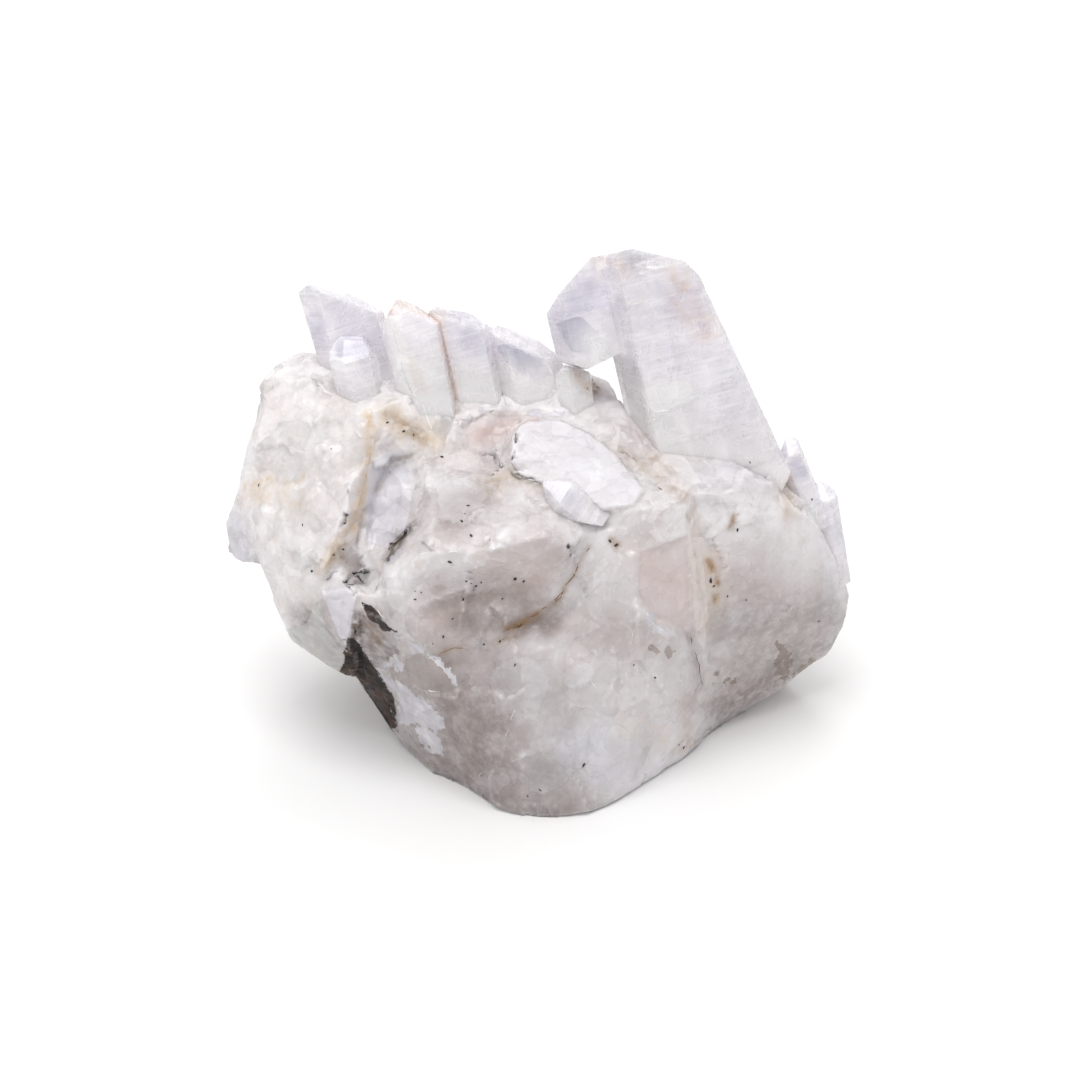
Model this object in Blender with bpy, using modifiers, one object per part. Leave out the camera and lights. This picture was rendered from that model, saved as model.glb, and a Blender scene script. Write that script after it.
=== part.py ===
"""A quartz crystal cluster at its real size: a milky quartz base, with clear quartz points set in it.

Most places are given as a viewer sees them from the front, looking down at the cluster by
VIEW_TILT: across to the right, up, and away from the viewer, in millimetres, counted from the
middle of the view. The function seen turns such a place into one in the cluster's own frame,
where +Z is up, the flat underside lies at Z = 0 and the origin is under the middle of the whole
cluster. Places out of sight are given along that frame's axes.
"""

import math

import bmesh
import bpy
from mathutils import Matrix, Vector, noise

# Driving sizes
MM = 0.001
VIEW_TILT = math.radians(30)
VIEW_DISTANCE = 600.0
UNDERSIDE_UP = -44.8
MIDDLE_X = -0.25
MIDDLE_Y = 12.1

# The milky base
VOXEL = 0.9 * MM
FUSE_STEPS = 3
BASE_TRIANGLES = 6200
CHIP_SIZE = 9.0
CHIP_DEPTH = 0.5
BACK_CHIP_SIZE = 20.0
BACK_CHIP_DEPTH = 3.2
BACK_FROM = 16.0
BACK_FULL = 28.0
ROUGH_SIZE = 6.0
ROUGH_DEPTH = 0.28
NOISE_SEED = 7
PLUMP = 0.5
BELOW_GROUND = 3.0

# The points
SOCKET_GAP = 0.3
RHOMB_LEAN = math.radians(38.2)
BLOCK_SPARE = 1.6


def seen(across, up, away):
    """A place that the viewer sees, in metres in the cluster's frame. Farther things look smaller."""
    grow = 1 + away / VIEW_DISTANCE
    across, up = across * grow, up * grow
    y = away * math.cos(VIEW_TILT) + up * math.sin(VIEW_TILT)
    z = (up - UNDERSIDE_UP) * math.cos(VIEW_TILT) - away * math.sin(VIEW_TILT)
    return Vector((across - MIDDLE_X, y - MIDDLE_Y, z)) * MM


def facing(across, up, away):
    """A direction that the viewer sees, in the cluster's frame."""
    tilt = Matrix.Rotation(VIEW_TILT, 3, "X")
    return (tilt.transposed() @ Vector((across, away, up))).normalized()


def hidden(x, y, z):
    """A place out of sight: across, back from the middle of the view, and above the underside."""
    return Vector((x - MIDDLE_X, y - MIDDLE_Y, z)) * MM


# The base is one stone, shaped as overlapping blocks. Each block is the hull of its corners.
BLOCKS = {
    "front": (
        [(-4, -43.6, 1.4), (2, -44.6, 0.4), (8, -43.8, 1.2), (-9.6, -40.6, 6.2), (-13.4, -38, 10),
         (-17, -35.2, 14.6), (-20.2, -32.8, 19), (12, -41.6, 4.8), (20, -36.6, 13.2),
         (27.6, -30.4, 22.4), (34, -25, 31), (-8, -35, -2.5), (-13, -25.5, -4), (-18, -19, -3), (-2, -30, -7),
         (4, -20, -8), (10, -12, -5.6), (14, -18, -5.2), (24, -15, 2.8), (26, -24, 11), (20, -2, 2),
         (-14, -15, 0)],
        [(-22, 25, 0), (30, 28, 0), (0, 30, 30), (-20, 15, 25), (24, 25, 30)],
    ),
    "right_front": (
        [(9, 0, -8), (12, 5, -8.5), (17, 5.5, -8), (24, 4.5, -4), (25, -4, -1.5), (26, -12, 2),
         (24.5, -15, 3), (14, -17, -6), (9, -10, -7), (7, -4, -8), (20, 8, -4)],
        [(5, 10, 25), (20, 20, 25)],
    ),
    "right": (
        [(24.5, 6, -3), (26.5, -10, 3.5), (26.5, -22, 12), (27.6, -29.6, 21), (38.4, -21.6, 35),
         (41.6, -18.8, 32), (38.4, 5.5, 2.5), (43.4, 3, 9), (47.9, -3.5, 16), (49.7, -8.2, 19.5),
         (48.9, -12.5, 22.5), (47.2, -17.6, 26.5), (45, -17.8, 28.5), (30, 6.4, -2.5), (36, -5, 3)],
        [(35, 26, 0), (42, 30, 20), (38, 30, 40), (25, 28, 46), (34, 34, 10)],
    ),
    "lump": (
        [(-27.2, -9.8, -5.5), (-23, -6, -10), (-18, -2.8, -13), (-12, -2.6, -14.5),
         (-6, -3.4, -15.2), (-2, -1.5, -15), (4, -1.5, -13), (7.5, 0, -10), (-21, 5, -6.5),
         (-19.5, 9, -4.5), (-15, 13, -1), (-9.5, 11.5, -3), (-4, 9, -5), (2, 6, -7.5),
         (7, 2.5, -9), (-9, 4, -12), (-2, 3, -12.5)],
        [(-18, 8, 30), (0, 8, 30), (-18, 12, 42), (5, 14, 40)],
    ),
    "under_lump": (
        [(-26.5, -10.5, -4.5), (-21, -16, -5.5), (-17, -18.5, -6), (-10, -17.5, -6.5),
         (-2, -13, -5.5), (4, -8, -7), (7, -2, -8.5), (-20, -5, -9.5), (-6, -5, -11.5)],
        [(-18, 6, 20), (5, 8, 22)],
    ),
    "slab": (
        [(-48, 12, 10), (-47.4, 15.5, 9.5), (-45.4, 20, 9), (-44.2, 24, 9), (-42, 27, 9),
         (-39.6, 29.4, 10), (-38, 30, 11), (-35, 28.6, 10), (-33, 24, 3), (-28.5, 21.5, -1),
         (-27.6, 14, -3.5), (-28.8, 7, -5), (-30.4, 2, -5.5), (-33, -3, -4.5), (-37, -8, -1),
         (-41.4, -5, 5), (-42, -9.5, 7), (-41.6, -12.5, 8), (-40.4, -14.8, 9), (-46.8, 4, 6.5),
         (-40, 18, 3)],
        [(-36, 30, 20), (-42, 24, 34), (-38, 30, 50), (-28, 26, 52), (-26, 16, 40)],
    ),
    "slab_tip": (
        [(-50.4, -1, 11), (-50.2, 2, 11), (-49.2, 5, 11), (-47.6, 8.4, 9), (-48.8, -4.1, 12),
         (-45.8, -3.8, 12), (-44.2, -2.6, 10), (-42, 4, 6)],
        [(-43, 20, 40), (-44, 22, 32)],
    ),
    "slab_foot": (
        [(-40.2, -15.2, 10), (-37, -18, 12.5), (-36.5, -11, 3), (-33, -9, 0), (-30.2, -8.5, -2),
         (-30.2, -18, 3), (-31, -21.6, 10), (-33, -20.4, 12), (-38.5, -7, 0)],
        [(-30, 22, 12), (-25, 15, 25)],
    ),
    "fin": (
        [(-35.4, -9.2, -1), (-33, -7.4, -2.5), (-29.6, -7.2, -4.5), (-29.8, -12, -4),
         (-30.2, -17.5, -0.5), (-31.6, -16.5, 0.5), (-33.8, -13, 0.5)],
        [(-28, 6, 28)],
    ),
    "dark_flank": (
        [(-29.8, -9.5, 0), (-27, -11, -4), (-29.6, -22.6, 12), (-24, -28.2, 17.5),
         (-20.2, -32.8, 19), (-22, -17, -3), (-16, -22, -3.2), (-13.4, -38, 10)],
        [(-25, 22, 3), (-20, 12, 25)],
    ),
    "hollow_back": (
        [(-30, 15, 2), (-20, 14.5, 2.5), (-19, 2, 1), (-21, -4, 0), (-28, -8, -1), (-33, -6, 0),
         (-34, 3, 0)],
        [(-34, 22, 30), (-15, 22, 30), (-20, 24, 52)],
    ),
    "shelf": (
        [(-31.5, 23.4, -0.5), (-27, 22.4, -2), (-22.8, 22.2, -1.5), (-18.4, 16.8, -1),
         (-24, 16, -3.4), (-28, 17, -3), (-13.4, 15.8, 0), (-11, 16.5, 4),
         (-8, 19.5, 6.5), (0, 19.5, 7), (5, 20, 7), (-10, 10, 2), (-24, 12.5, -1), (-6, 25, 9),
         (2, 25, 9), (-24, 26, 8)],
        [(-28, 30, 48), (4, 30, 47), (-30, 24, 30), (6, 26, 30)],
    ),
    "tablet": (
        [(-4.8, 12, -2.5), (-4.2, 15.6, -1), (-2.6, 18.2, 0.5), (1, 19.3, 1), (6, 18.4, 0),
         (12, 14.5, -2), (17, 9, -5), (16, 6, -6.5), (11, 5.5, -7.5), (3, 8.5, -7), (-2.6, 9.8, -4)],
        [(0, 16, 42), (12, 18, 42)],
    ),
    "saddle": (
        [(5, 20.6, 3.5), (3.6, 27.6, 7), (5, 29, 8), (8.1, 27.6, 7), (8.6, 25.4, 6.5),
         (9.5, 22.6, 5.5), (12.8, 21, 4), (16, 17, 0.5), (19.6, 10.4, -3), (24, 5, -3.6),
         (16, 8, -5), (10, 16, -1)],
        [(4, 24, 46), (9, 26, 43), (21, 20, 38)],
    ),
    "crystal_foot": (
        [(17, 12, -3.5), (22, 7, -5), (27, 6.2, -4.5), (34, 6.5, -1.5), (38.5, 7.5, 3.5),
         (39.5, 11, 6), (37.5, 14, 7), (26, 18, 4)],
        [(20, 30, 46), (36, 30, 42), (28, 16, 30)],
    ),
    "core": (
        [],
        [(-24, 4, 8), (22, 2, 8), (0, -10, 8), (-27, 24, 12), (30, 24, 10), (-24, 9, 40),
         (18, 6, 36), (0, -4, 30), (-26, 28, 44), (26, 26, 42), (0, 34, 12), (0, 33, 38)],
    ),
    "back_low": (
        [],
        [(-24, 12, 0), (-20, 29, 0), (-4, 33, 0), (16, 33, 0), (32, 29, 0), (-30, 24, 12),
         (-25, 35, 11), (-2, 41, 13), (20, 39, 11), (35, 32, 13), (30, 36, 24), (-19, 40, 23),
         (4, 42, 25), (-34, 28, 27), (-25, 37, 30), (0, 36, 32)],
    ),
    "back_left": (
        [],
        [(-31, 20, 9), (-37, 23, 24), (-38, 20, 42), (-37, 32, 37), (-29, 38, 26), (-14, 42, 29),
         (-9, 40, 42), (-20, 34, 49), (-33, 30, 50), (-16, 24, 46)],
    ),
    "back_right": (
        [],
        [(1, 38, 19), (9, 43, 26), (26, 42, 21), (38, 36, 17), (43, 27, 22), (41, 32, 32),
         (37, 22, 0), (39, 24, 38), (33, 36, 36), (23, 37, 41), (8, 38, 39), (4, 30, 45),
         (22, 26, 47)],
    ),
    "back_top": (
        [],
        [(-24, 24, 51), (-6, 30, 48), (4, 26, 46), (-30, 34, 45), (0, 37, 38), (-12, 38, 40),
         (20, 24, 48), (30, 30, 42)],
    ),
}

# Parts of the base that keep their sharp edges, each a hull of its corners
CRISP = {
    "white_tablet": [
        (-5, 12.6, -3.4), (-4.6, 16.4, -2), (-3.2, 18.4, -0.6), (-1.6, 19.2, 0), (3.2, 19.2, 0),
        (8, 17, -1), (12.2, 13.6, -3), (16.6, 8, -6.6), (15, 5.6, -7.8), (10, 5, -8.6),
        (3, 8.3, -8.2), (-2.8, 9.8, -5.2), (0, 14, 4), (10, 11, 2)],
    "fin": [
        (-35.2, -9.6, -1.6), (-33.2, -7.6, -3.4), (-30.6, -7.6, -5.4), (-29.6, -12, -5.4),
        (-30.4, -18, -2), (-33.4, -14.6, -0.4), (-32, -10, 3), (-30, -14, 3)],
    "slab_tip": [
        (-50.9, -1, 11), (-50.7, 2, 10.6), (-49.7, 5.4, 10), (-48, 8.8, 8.6), (-49.2, -4.3, 11.6),
        (-45.8, -4.2, 11), (-44.6, 2, 6.6), (-45.6, 6.5, 6.4), (-46, 2, 16)],
    "lump_ledge": [
        (-23, -5.8, -10.9), (-18.4, -2.3, -13.8), (-12.5, -1.9, -15.3), (-7, -2.7, -15.9),
        (-2.2, -0.3, -15.4), (-8.6, 4.2, -12.9), (-17, 3.8, -11.2), (-21.6, 0, -10.4),
        (-16, 0, -8), (-6, 0, -9)],
    "front_chip": [
        (13.6, -9.6, -6.4), (17.4, -11.2, -5.6), (18.8, -13.8, -4.4), (23.6, -15.4, 1),
        (16, -16.4, -5.6), (11.6, -13.6, -6.8), (17, -10, 0), (15, -15, 0)],
    "corner_chip": [
        (17.4, 6.4, -8.6), (22.6, 5.6, -6), (24.4, 2.6, -4.8), (24, -3, -4), (19.6, -1.4, -8),
        (16.4, 2.4, -9), (20, 2, -2)],
}

# Grooves that run over the base: a line of seen places, how wide, and how deep
GROOVES = {
    "rust_crack": ([(7.6, -0.8), (6, -4), (4, -8), (2, -10.4), (-1, -12), (-5, -14)], 1.1, 1.6),
    "lower_crack": ([(-4, -16.2), (-9, -17), (-13, -17), (-16, -18.2)], 1.0, 0.8),
    "dark_crevice": ([(-20.4, 3), (-22, 0), (-24.4, -2.6), (-27, -5.4)], 1.8, 2.6),
    "slab_groove": ([(-27.4, 18), (-28.6, 8), (-31, 0.6), (-34.6, -4.6)], 1.2, 0.6),
    "upright_crack": ([(24, -15), (25.2, -19), (26.2, -24), (28.4, -31)], 0.9, 1.4),
    "brown_slit": ([(12.8, 14), (16, 11.6), (20, 8.6), (23.6, 7)], 1.5, 1.6),
    "slab_step": ([(-47, 7.4), (-43.6, 9.6), (-38, 9.2)], 1.4, 0.7),
    "black_hollow": ([(-28.4, -11), (-25.6, -16.6), (-26.4, -23), (-23.8, -29)], 2.4, 2.2),
}


def new_object(name, mesh, collection):
    made = bpy.data.objects.new(name, mesh)
    collection.objects.link(made)
    return made


def mesh_of(bm, name):
    mesh = bpy.data.meshes.new(name)
    bm.to_mesh(mesh)
    bm.free()
    return mesh


def add_hull(bm, corners):
    """Adds the convex hull of the corners as a closed block of its own."""
    points = [bm.verts.new(corner) for corner in corners]
    made = bmesh.ops.convex_hull(bm, input=points, use_existing_faces=False)
    spare = {v for v in made["geom_interior"] + made["geom_unused"] if isinstance(v, bmesh.types.BMVert)}
    bmesh.ops.delete(bm, geom=list(spare), context="VERTS")


def applied(obj):
    """The object's mesh with its modifiers applied, kept on the object."""
    graph = bpy.context.evaluated_depsgraph_get()
    mesh = bpy.data.meshes.new_from_object(obj.evaluated_get(graph))
    obj.modifiers.clear()
    obj.data = mesh
    return mesh


def clear_scene():
    for obj in list(bpy.data.objects):
        bpy.data.objects.remove(obj, do_unlink=True)


def collection_named(name):
    made = bpy.data.collections.new(name)
    bpy.context.scene.collection.children.link(made)
    return made


def material(name, colour, roughness, transmission=0.0):
    made = bpy.data.materials.new(name)
    made.use_nodes = True
    shader = made.node_tree.nodes["Principled BSDF"]
    shader.inputs["Base Color"].default_value = (*colour, 1)
    shader.inputs["Roughness"].default_value = roughness
    shader.inputs["Metallic"].default_value = 0
    shader.inputs["Transmission Weight"].default_value = transmission
    made.diffuse_color = (*colour, 1)
    return made


def keep_largest_shell(mesh):
    """Deletes the small closed pockets that lie between blocks inside the stone."""
    bm = bmesh.new()
    bm.from_mesh(mesh)
    left = set(bm.verts)
    shells = []
    while left:
        shell = {left.pop()}
        front = list(shell)
        while front:
            vertex = front.pop()
            for edge in vertex.link_edges:
                other = edge.other_vert(vertex)
                if other not in shell:
                    shell.add(other)
                    front.append(other)
        left -= shell
        shells.append(shell)
    largest = max(shells, key=len)
    spare = [v for shell in shells if shell is not largest for v in shell]
    bmesh.ops.delete(bm, geom=spare, context="VERTS")
    bm.to_mesh(mesh)
    bm.free()


def fuse(base):
    """Makes one skin of everything that overlaps, and keeps only the outermost one."""
    remesh = base.modifiers.new("fuse", "REMESH")
    remesh.mode = "VOXEL"
    remesh.voxel_size = VOXEL
    applied(base)
    keep_largest_shell(base.data)


def fused_blocks(collection):
    """The blocks of the base as one stone with softened edges."""
    bm = bmesh.new()
    for visible, out_of_sight in BLOCKS.values():
        corners = [seen(*c) for c in visible] + [hidden(*c) for c in out_of_sight]
        for corner in corners:
            if corner.z < BELOW_GROUND * MM / 2:
                corner.z -= BELOW_GROUND * MM
        add_hull(bm, corners)
    base = new_object("milky_base", mesh_of(bm, "milky_base"), collection)
    fuse(base)
    soften = base.modifiers.new("soften", "SMOOTH")
    soften.iterations = FUSE_STEPS
    soften.factor = 0.5
    applied(base)
    return base


def chip_depth(place, size, depth):
    """Flat chips: each cell of a Voronoi pattern leans its own way, in millimetres."""
    scaled = place / (size * MM)
    cell = noise.voronoi(scaled)[1][0]
    lean = noise.noise_vector(cell * 3.7).normalized()
    return depth * (scaled - cell).dot(lean)


def groove_lines():
    """Each groove as a list of its short straight stretches in view coordinates."""
    return [([Vector(p) for p in line], wide, deep) for line, wide, deep in GROOVES.values()]


def as_viewed(place):
    """A place in the cluster's frame as the viewer sees it: across, up, away."""
    p = place / MM + Vector((MIDDLE_X, MIDDLE_Y, UNDERSIDE_UP * math.cos(VIEW_TILT)))
    up = p.z * math.cos(VIEW_TILT) + p.y * math.sin(VIEW_TILT)
    away = p.y * math.cos(VIEW_TILT) - p.z * math.sin(VIEW_TILT)
    grow = 1 + away / VIEW_DISTANCE
    return Vector((p.x / grow, up / grow, away))


def distance_to_line(point, line):
    nearest = math.inf
    for start, end in zip(line, line[1:]):
        along = end - start
        share = max(0.0, min(1.0, (point - start).dot(along) / along.length_squared))
        nearest = min(nearest, (point - start - along * share).length)
    return nearest


def carve(base):
    """Cuts the grooves into the side that the viewer sees, and roughens the stone all over."""
    mesh = base.data
    normals = [v.normal.copy() for v in mesh.vertices]
    lines = groove_lines()
    toward_viewer = facing(0, 0, -1)
    for vertex, normal in zip(mesh.vertices, normals):
        place = vertex.co.copy()
        depth = chip_depth(place, CHIP_SIZE, CHIP_DEPTH) - PLUMP
        behind = min(1.0, max(0.0, (place.y / MM + MIDDLE_Y - BACK_FROM) / (BACK_FULL - BACK_FROM)))
        depth += behind * chip_depth(place, BACK_CHIP_SIZE, BACK_CHIP_DEPTH)
        depth += ROUGH_DEPTH * noise.fractal(place / (ROUGH_SIZE * MM), 1.0, 2.0, 3)
        if normal.dot(toward_viewer) > 0:
            view = as_viewed(place)
            for line, wide, deep in lines:
                near = distance_to_line(view.xy, line) / wide
                if near < 2 and view.z < 24:
                    depth += deep * math.exp(-near * near)
        vertex.co = place - normal * depth * MM


def flatten_underside(base):
    bm = bmesh.new()
    bm.from_mesh(base.data)
    geometry = bm.verts[:] + bm.edges[:] + bm.faces[:]
    bmesh.ops.bisect_plane(bm, geom=geometry, plane_co=(0, 0, 0), plane_no=(0, 0, 1), clear_inner=True)
    rim = [e for e in bm.edges if e.is_boundary]
    bmesh.ops.holes_fill(bm, edges=rim, sides=0)
    bmesh.ops.recalc_face_normals(bm, faces=bm.faces[:])
    bm.to_mesh(base.data)
    bm.free()


def add_crisp_parts(base, collection):
    for name, corners in CRISP.items():
        bm = bmesh.new()
        add_hull(bm, [seen(*c) for c in corners])
        bmesh.ops.recalc_face_normals(bm, faces=bm.faces[:])
        piece = new_object(name, mesh_of(bm, name), collection)
        join = base.modifiers.new(name, "BOOLEAN")
        join.operation = "UNION"
        join.object = piece
        applied(base)
        bpy.data.objects.remove(piece)


def make_base(collection):
    base = fused_blocks(collection)
    carve(base)
    fuse(base)
    thin = base.modifiers.new("thin", "DECIMATE")
    thin.ratio = BASE_TRIANGLES / (2 * len(base.data.polygons))
    applied(base)
    flatten_underside(base)
    add_crisp_parts(base, collection)
    return base


def slice_off(bm, point, direction):
    """Cuts away what lies past the point in that direction, and closes the cut with a flat face."""
    geometry = bm.verts[:] + bm.edges[:] + bm.faces[:]
    cut = bmesh.ops.bisect_plane(bm, geom=geometry, plane_co=point, plane_no=direction, clear_outer=True)
    rim = [e for e in cut["geom_cut"] if isinstance(e, bmesh.types.BMEdge)]
    if rim:
        bmesh.ops.contextual_create(bm, geom=rim)


def add_point(bm, root, tip, sides, caps, turn=0, tapers=(0,) * 6, chops=(), spare=0.0):
    """Adds one quartz point, cut from a block as its crystal faces lie.

    sides holds the distance from the axis to each of the six prism faces, starting with the one
    that faces the viewer and going round to the right. caps holds where each of the six end
    faces crosses the axis, as a share of the length. turn rolls the point to the right and
    tapers lean its sides outwards towards the root, both in degrees. spare makes it larger.
    """
    axis = (tip - root).normalized()
    length = (tip - root).length
    to_viewer = facing(0, 0, -1)
    front = (to_viewer - axis * to_viewer.dot(axis)).normalized()
    right = axis.cross(front)
    size = max(max(sides) * MM, length) * 2 * BLOCK_SPARE
    block = bmesh.new()
    bmesh.ops.create_cube(block, size=size, matrix=Matrix.Translation((root + tip) / 2))
    slice_off(block, root - axis * spare * MM, -axis)
    for k in range(6):
        angle = math.radians(60 * k + turn)
        outward = front * math.cos(angle) + right * math.sin(angle)
        lean = math.radians(tapers[k])
        middle = (root + tip) / 2
        slice_off(
            block,
            middle + outward * (sides[k] + spare) * MM,
            outward * math.cos(lean) + axis * math.sin(lean),
        )
        slope = outward * math.cos(RHOMB_LEAN) + axis * math.sin(RHOMB_LEAN)
        slice_off(block, root + axis * length * caps[k] + slope * spare * MM, slope)
    for place, direction in chops:
        way = facing(*direction)
        slice_off(block, place + way * spare * MM, way)
    bmesh.ops.remove_doubles(block, verts=block.verts[:], dist=1e-7)
    bmesh.ops.recalc_face_normals(block, faces=block.faces[:])
    piece = bpy.data.meshes.new("point")
    block.to_mesh(piece)
    block.free()
    bm.from_mesh(piece)
    bpy.data.meshes.remove(piece)


# Each named crystal is one or more points. Those of several are grown together into one solid.
CRYSTALS = {
    "large_point": [
        dict(root=seen(28.7, -4, 14.6), tip=seen(17.1, 48.5, -7), sides=(6, 11.7, 11.7, 6.5, 8.2, 8.2),
             turn=3, caps=(1.3, 1.25, 1.05, 0.88, 1.05, 1.3), tapers=(0, 10.6, 10.6, 0, 0, 0),
             chops=[(seen(16, 46.2, -12.5), (0.087, 0.9, 0.45)),
                    (seen(22.6, 45.2, -12), (0.371, 0.928, 0.3)),
                    (seen(26.2, 42.8, -11), (0.855, 0.518, 0.2)),
                    (seen(39.6, 9, 3), (0.894, -0.447, 0.1))]),
        dict(root=seen(13, 14, 7), tip=seen(5.4, 47, -5), sides=(4.4, 8, 8, 5, 5.8, 5.8), turn=2,
             caps=(1.2, 1.3, 1.1, 1.0, 1.1, 1.3),
             chops=[(seen(9.4, 46, -10), (-0.2, 0.98, 0.3)), (seen(5, 41.7, -8), (-0.732, 0.681, 0.1)),
                    (seen(1.2, 36.6, -6), (-0.944, 0.329, -0.1)), (seen(1.5, 33, -5), (-0.99, -0.14, 0)),
                    (seen(3, 28.9, -4), (-0.3, -0.95, 0)), (seen(9.6, 28.2, -4), (0.447, -0.894, 0.1))]),
    ],
    "left_tall_point": [
        dict(root=seen(-24.3, 12, 15.2), tip=seen(-33, 41.5, 5.7), sides=(4, 5.6, 5.6, 4.2, 5.4, 5.4),
             turn=15, caps=(1.2, 1.3, 1.1, 1.04, 1.25, 1.4),
             chops=[(seen(-30.5, 38.7, 8), (0.416, 0.909, -0.2)),
                    (seen(-37.9, 39.7, 8), (-0.6, 0.8, 0))]),
    ],
    "short_point": [
        dict(root=seen(-27, 17, 4.4), tip=seen(-31.2, 34.4, -1), sides=(3.2, 3.3, 3.4, 3.2, 3.4, 3.3),
             turn=12, caps=(0.93, 1.02, 1.1, 1.05, 1.06, 0.96),
             chops=[(seen(-30.5, 32.2, 0), (0.05, 1, -0.2)), (seen(-33, 31, 0), (-0.75, 0.66, -0.2)),
                    (seen(-27.6, 31, 0), (0.8, 0.6, -0.1))]),
    ],
    "middle_points": [
        dict(root=seen(-14.8, 8, 7), tip=seen(-21.5, 40.4, -4), sides=(3.3, 3.9, 3.9, 3.6, 4.3, 4.2),
             turn=17, caps=(1.1, 1.2, 1.1, 1.04, 1.02, 1.04),
             chops=[(seen(-20.6, 37.6, 0), (0.482, 0.876, -0.25)),
                    (seen(-24.6, 36.6, -1), (-0.81, 0.584, 0))]),
        dict(root=seen(-7.8, 12, 10.5), tip=seen(-14.2, 38.4, 1.5), sides=(3.8, 4.6, 4.6, 4, 4.4, 4.4),
             turn=6, caps=(1.2, 1.3, 1.1, 1.05, 1.1, 1.2),
             chops=[(seen(-12.5, 36.2, 5), (0.36, 0.933, -0.3)), (seen(-11, 19.8, 1), (0.4, -0.75, -0.55))]),
        dict(root=seen(2, 12, 11.5), tip=seen(-4, 37, 3), sides=(4, 5, 5, 4, 4.9, 4.9), turn=4,
             caps=(1.3, 1.3, 1.1, 1.05, 1.1, 1.2), tapers=(0, 5, 5, 0, 2, 2),
             chops=[(seen(-3, 32.5, 7), (0.433, 0.9, -0.35)), (seen(-2, 20.4, 2.5), (0.04, -0.8, -0.6))]),
        dict(root=seen(7, 14, 6), tip=seen(4.4, 31, 1.5), sides=(2.4, 2.9, 3, 2.6, 2.6, 2.6), turn=24,
             caps=(0.98, 1.1, 1.1, 1.05, 1.0, 1.0),
             chops=[(seen(5.4, 27.6, 1), (0.28, 0.95, 0)), (seen(3.4, 27.4, 1), (-0.7, 0.7, 0))]),
    ],
    "clear_chip": [
        dict(root=seen(9.4, 2.2, -7), tip=seen(0.8, 8.6, -9.4), sides=(2.2, 3, 3, 3, 3, 2.6),
             turn=14, caps=(0.99, 1.1, 1.15, 1.1, 1.05, 1.0),
             chops=[(seen(5, 3, -9), (-0.15, -0.98, -0.1)), (seen(7, 8.8, -9), (0.66, 0.75, -0.1))]),
    ],
    "right_shards": [
        dict(root=seen(44.4, 2, 16), tip=seen(38.6, 16, 10.6), sides=(2, 2.3, 2.3, 2.2, 2, 2), turn=10,
             caps=(1.0, 1.1, 1.1, 1.0, 0.95, 0.95)),
        dict(root=seen(47.2, -7, 19.5), tip=seen(44.6, 9.4, 14.6), sides=(2, 2.3, 2.3, 2.2, 2.2, 2.1),
             turn=-8, caps=(0.98, 1.0, 1.05, 1.0, 1.04, 1.0)),
    ],
    "rear_left_point": [
        dict(root=hidden(-21, 22, 30), tip=hidden(-30.5, 39, 54.5), sides=(3.8, 4.2, 4, 4.3, 4.1, 4.2),
             turn=12, caps=(0.98, 1.02, 0.95, 0.97, 1.03, 0.96)),
    ],
    "rear_middle_point": [
        dict(root=hidden(-9, 24, 28), tip=hidden(-14, 44, 54), sides=(4.7, 5.2, 4.8, 5.3, 5, 5.1),
             turn=24, caps=(0.96, 1.0, 0.97, 1.03, 0.98, 1.01)),
    ],
    "rear_low_point": [
        dict(root=hidden(2, 24, 24), tip=hidden(1.4, 47, 40.5), sides=(3.3, 3.6, 3.4, 3.7, 3.5, 3.6),
             turn=8, caps=(1.0, 1.03, 0.96, 0.98, 1.02, 0.97)),
    ],
    "rear_right_point": [
        dict(root=hidden(21, 25, 30), tip=hidden(26.5, 44, 53.5), sides=(5.2, 5.8, 5.4, 5.9, 5.3, 5.6),
             turn=4, caps=(1.02, 0.95, 0.99, 0.94, 1.03, 0.98)),
    ],
}


def make_crystal(name, points, collection, spare=0.0):
    """One crystal, or several grown together, as one closed solid."""
    whole = None
    for number, values in enumerate(points):
        bm = bmesh.new()
        add_point(bm, spare=spare, **values)
        piece = new_object(f"{name}_{number}", mesh_of(bm, name), collection)
        if whole is None:
            whole = piece
            continue
        join = whole.modifiers.new("grown_together", "BOOLEAN")
        join.operation = "UNION"
        join.object = piece
        applied(whole)
        bpy.data.objects.remove(piece)
    whole.name = name
    return whole


def cut_sockets(base, collection):
    """Each crystal stands in a socket of its own shape, a little larger all round."""
    for name, points in CRYSTALS.items():
        socket = make_crystal(f"{name}_socket", points, collection, SOCKET_GAP)
        socket.hide_render = True
        socket.display_type = "WIRE"
        cut = base.modifiers.new(name, "BOOLEAN")
        cut.operation = "DIFFERENCE"
        cut.object = socket


def main():
    clear_scene()
    noise.seed_set(NOISE_SEED)
    stone = collection_named("quartz_crystal_cluster")
    cutters = collection_named("sockets")
    milky = material("milky_quartz", (0.82, 0.79, 0.78), 0.45)
    clear = material("clear_quartz", (0.92, 0.91, 0.94), 0.08, transmission=0.9)
    base = make_base(stone)
    base.data.materials.append(milky)
    for name, points in CRYSTALS.items():
        crystal = make_crystal(name, points, stone)
        crystal.data.materials.append(clear)
    cut_sockets(base, cutters)


main()
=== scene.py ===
# %% [markdown]
# # A quartz crystal cluster
# The real thing is a hand-sized lump of milky quartz with clear, flat-sided quartz points growing
# out of it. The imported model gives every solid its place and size. This lesson copies those
# solids, gives them the finer shape that solids leave out, and builds the materials: cloudy
# stone, clear crystal, rust in the cracks. All lengths are metres, and places on the front are
# written in millimetres as the viewer sees them, because that is how they were read.

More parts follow.
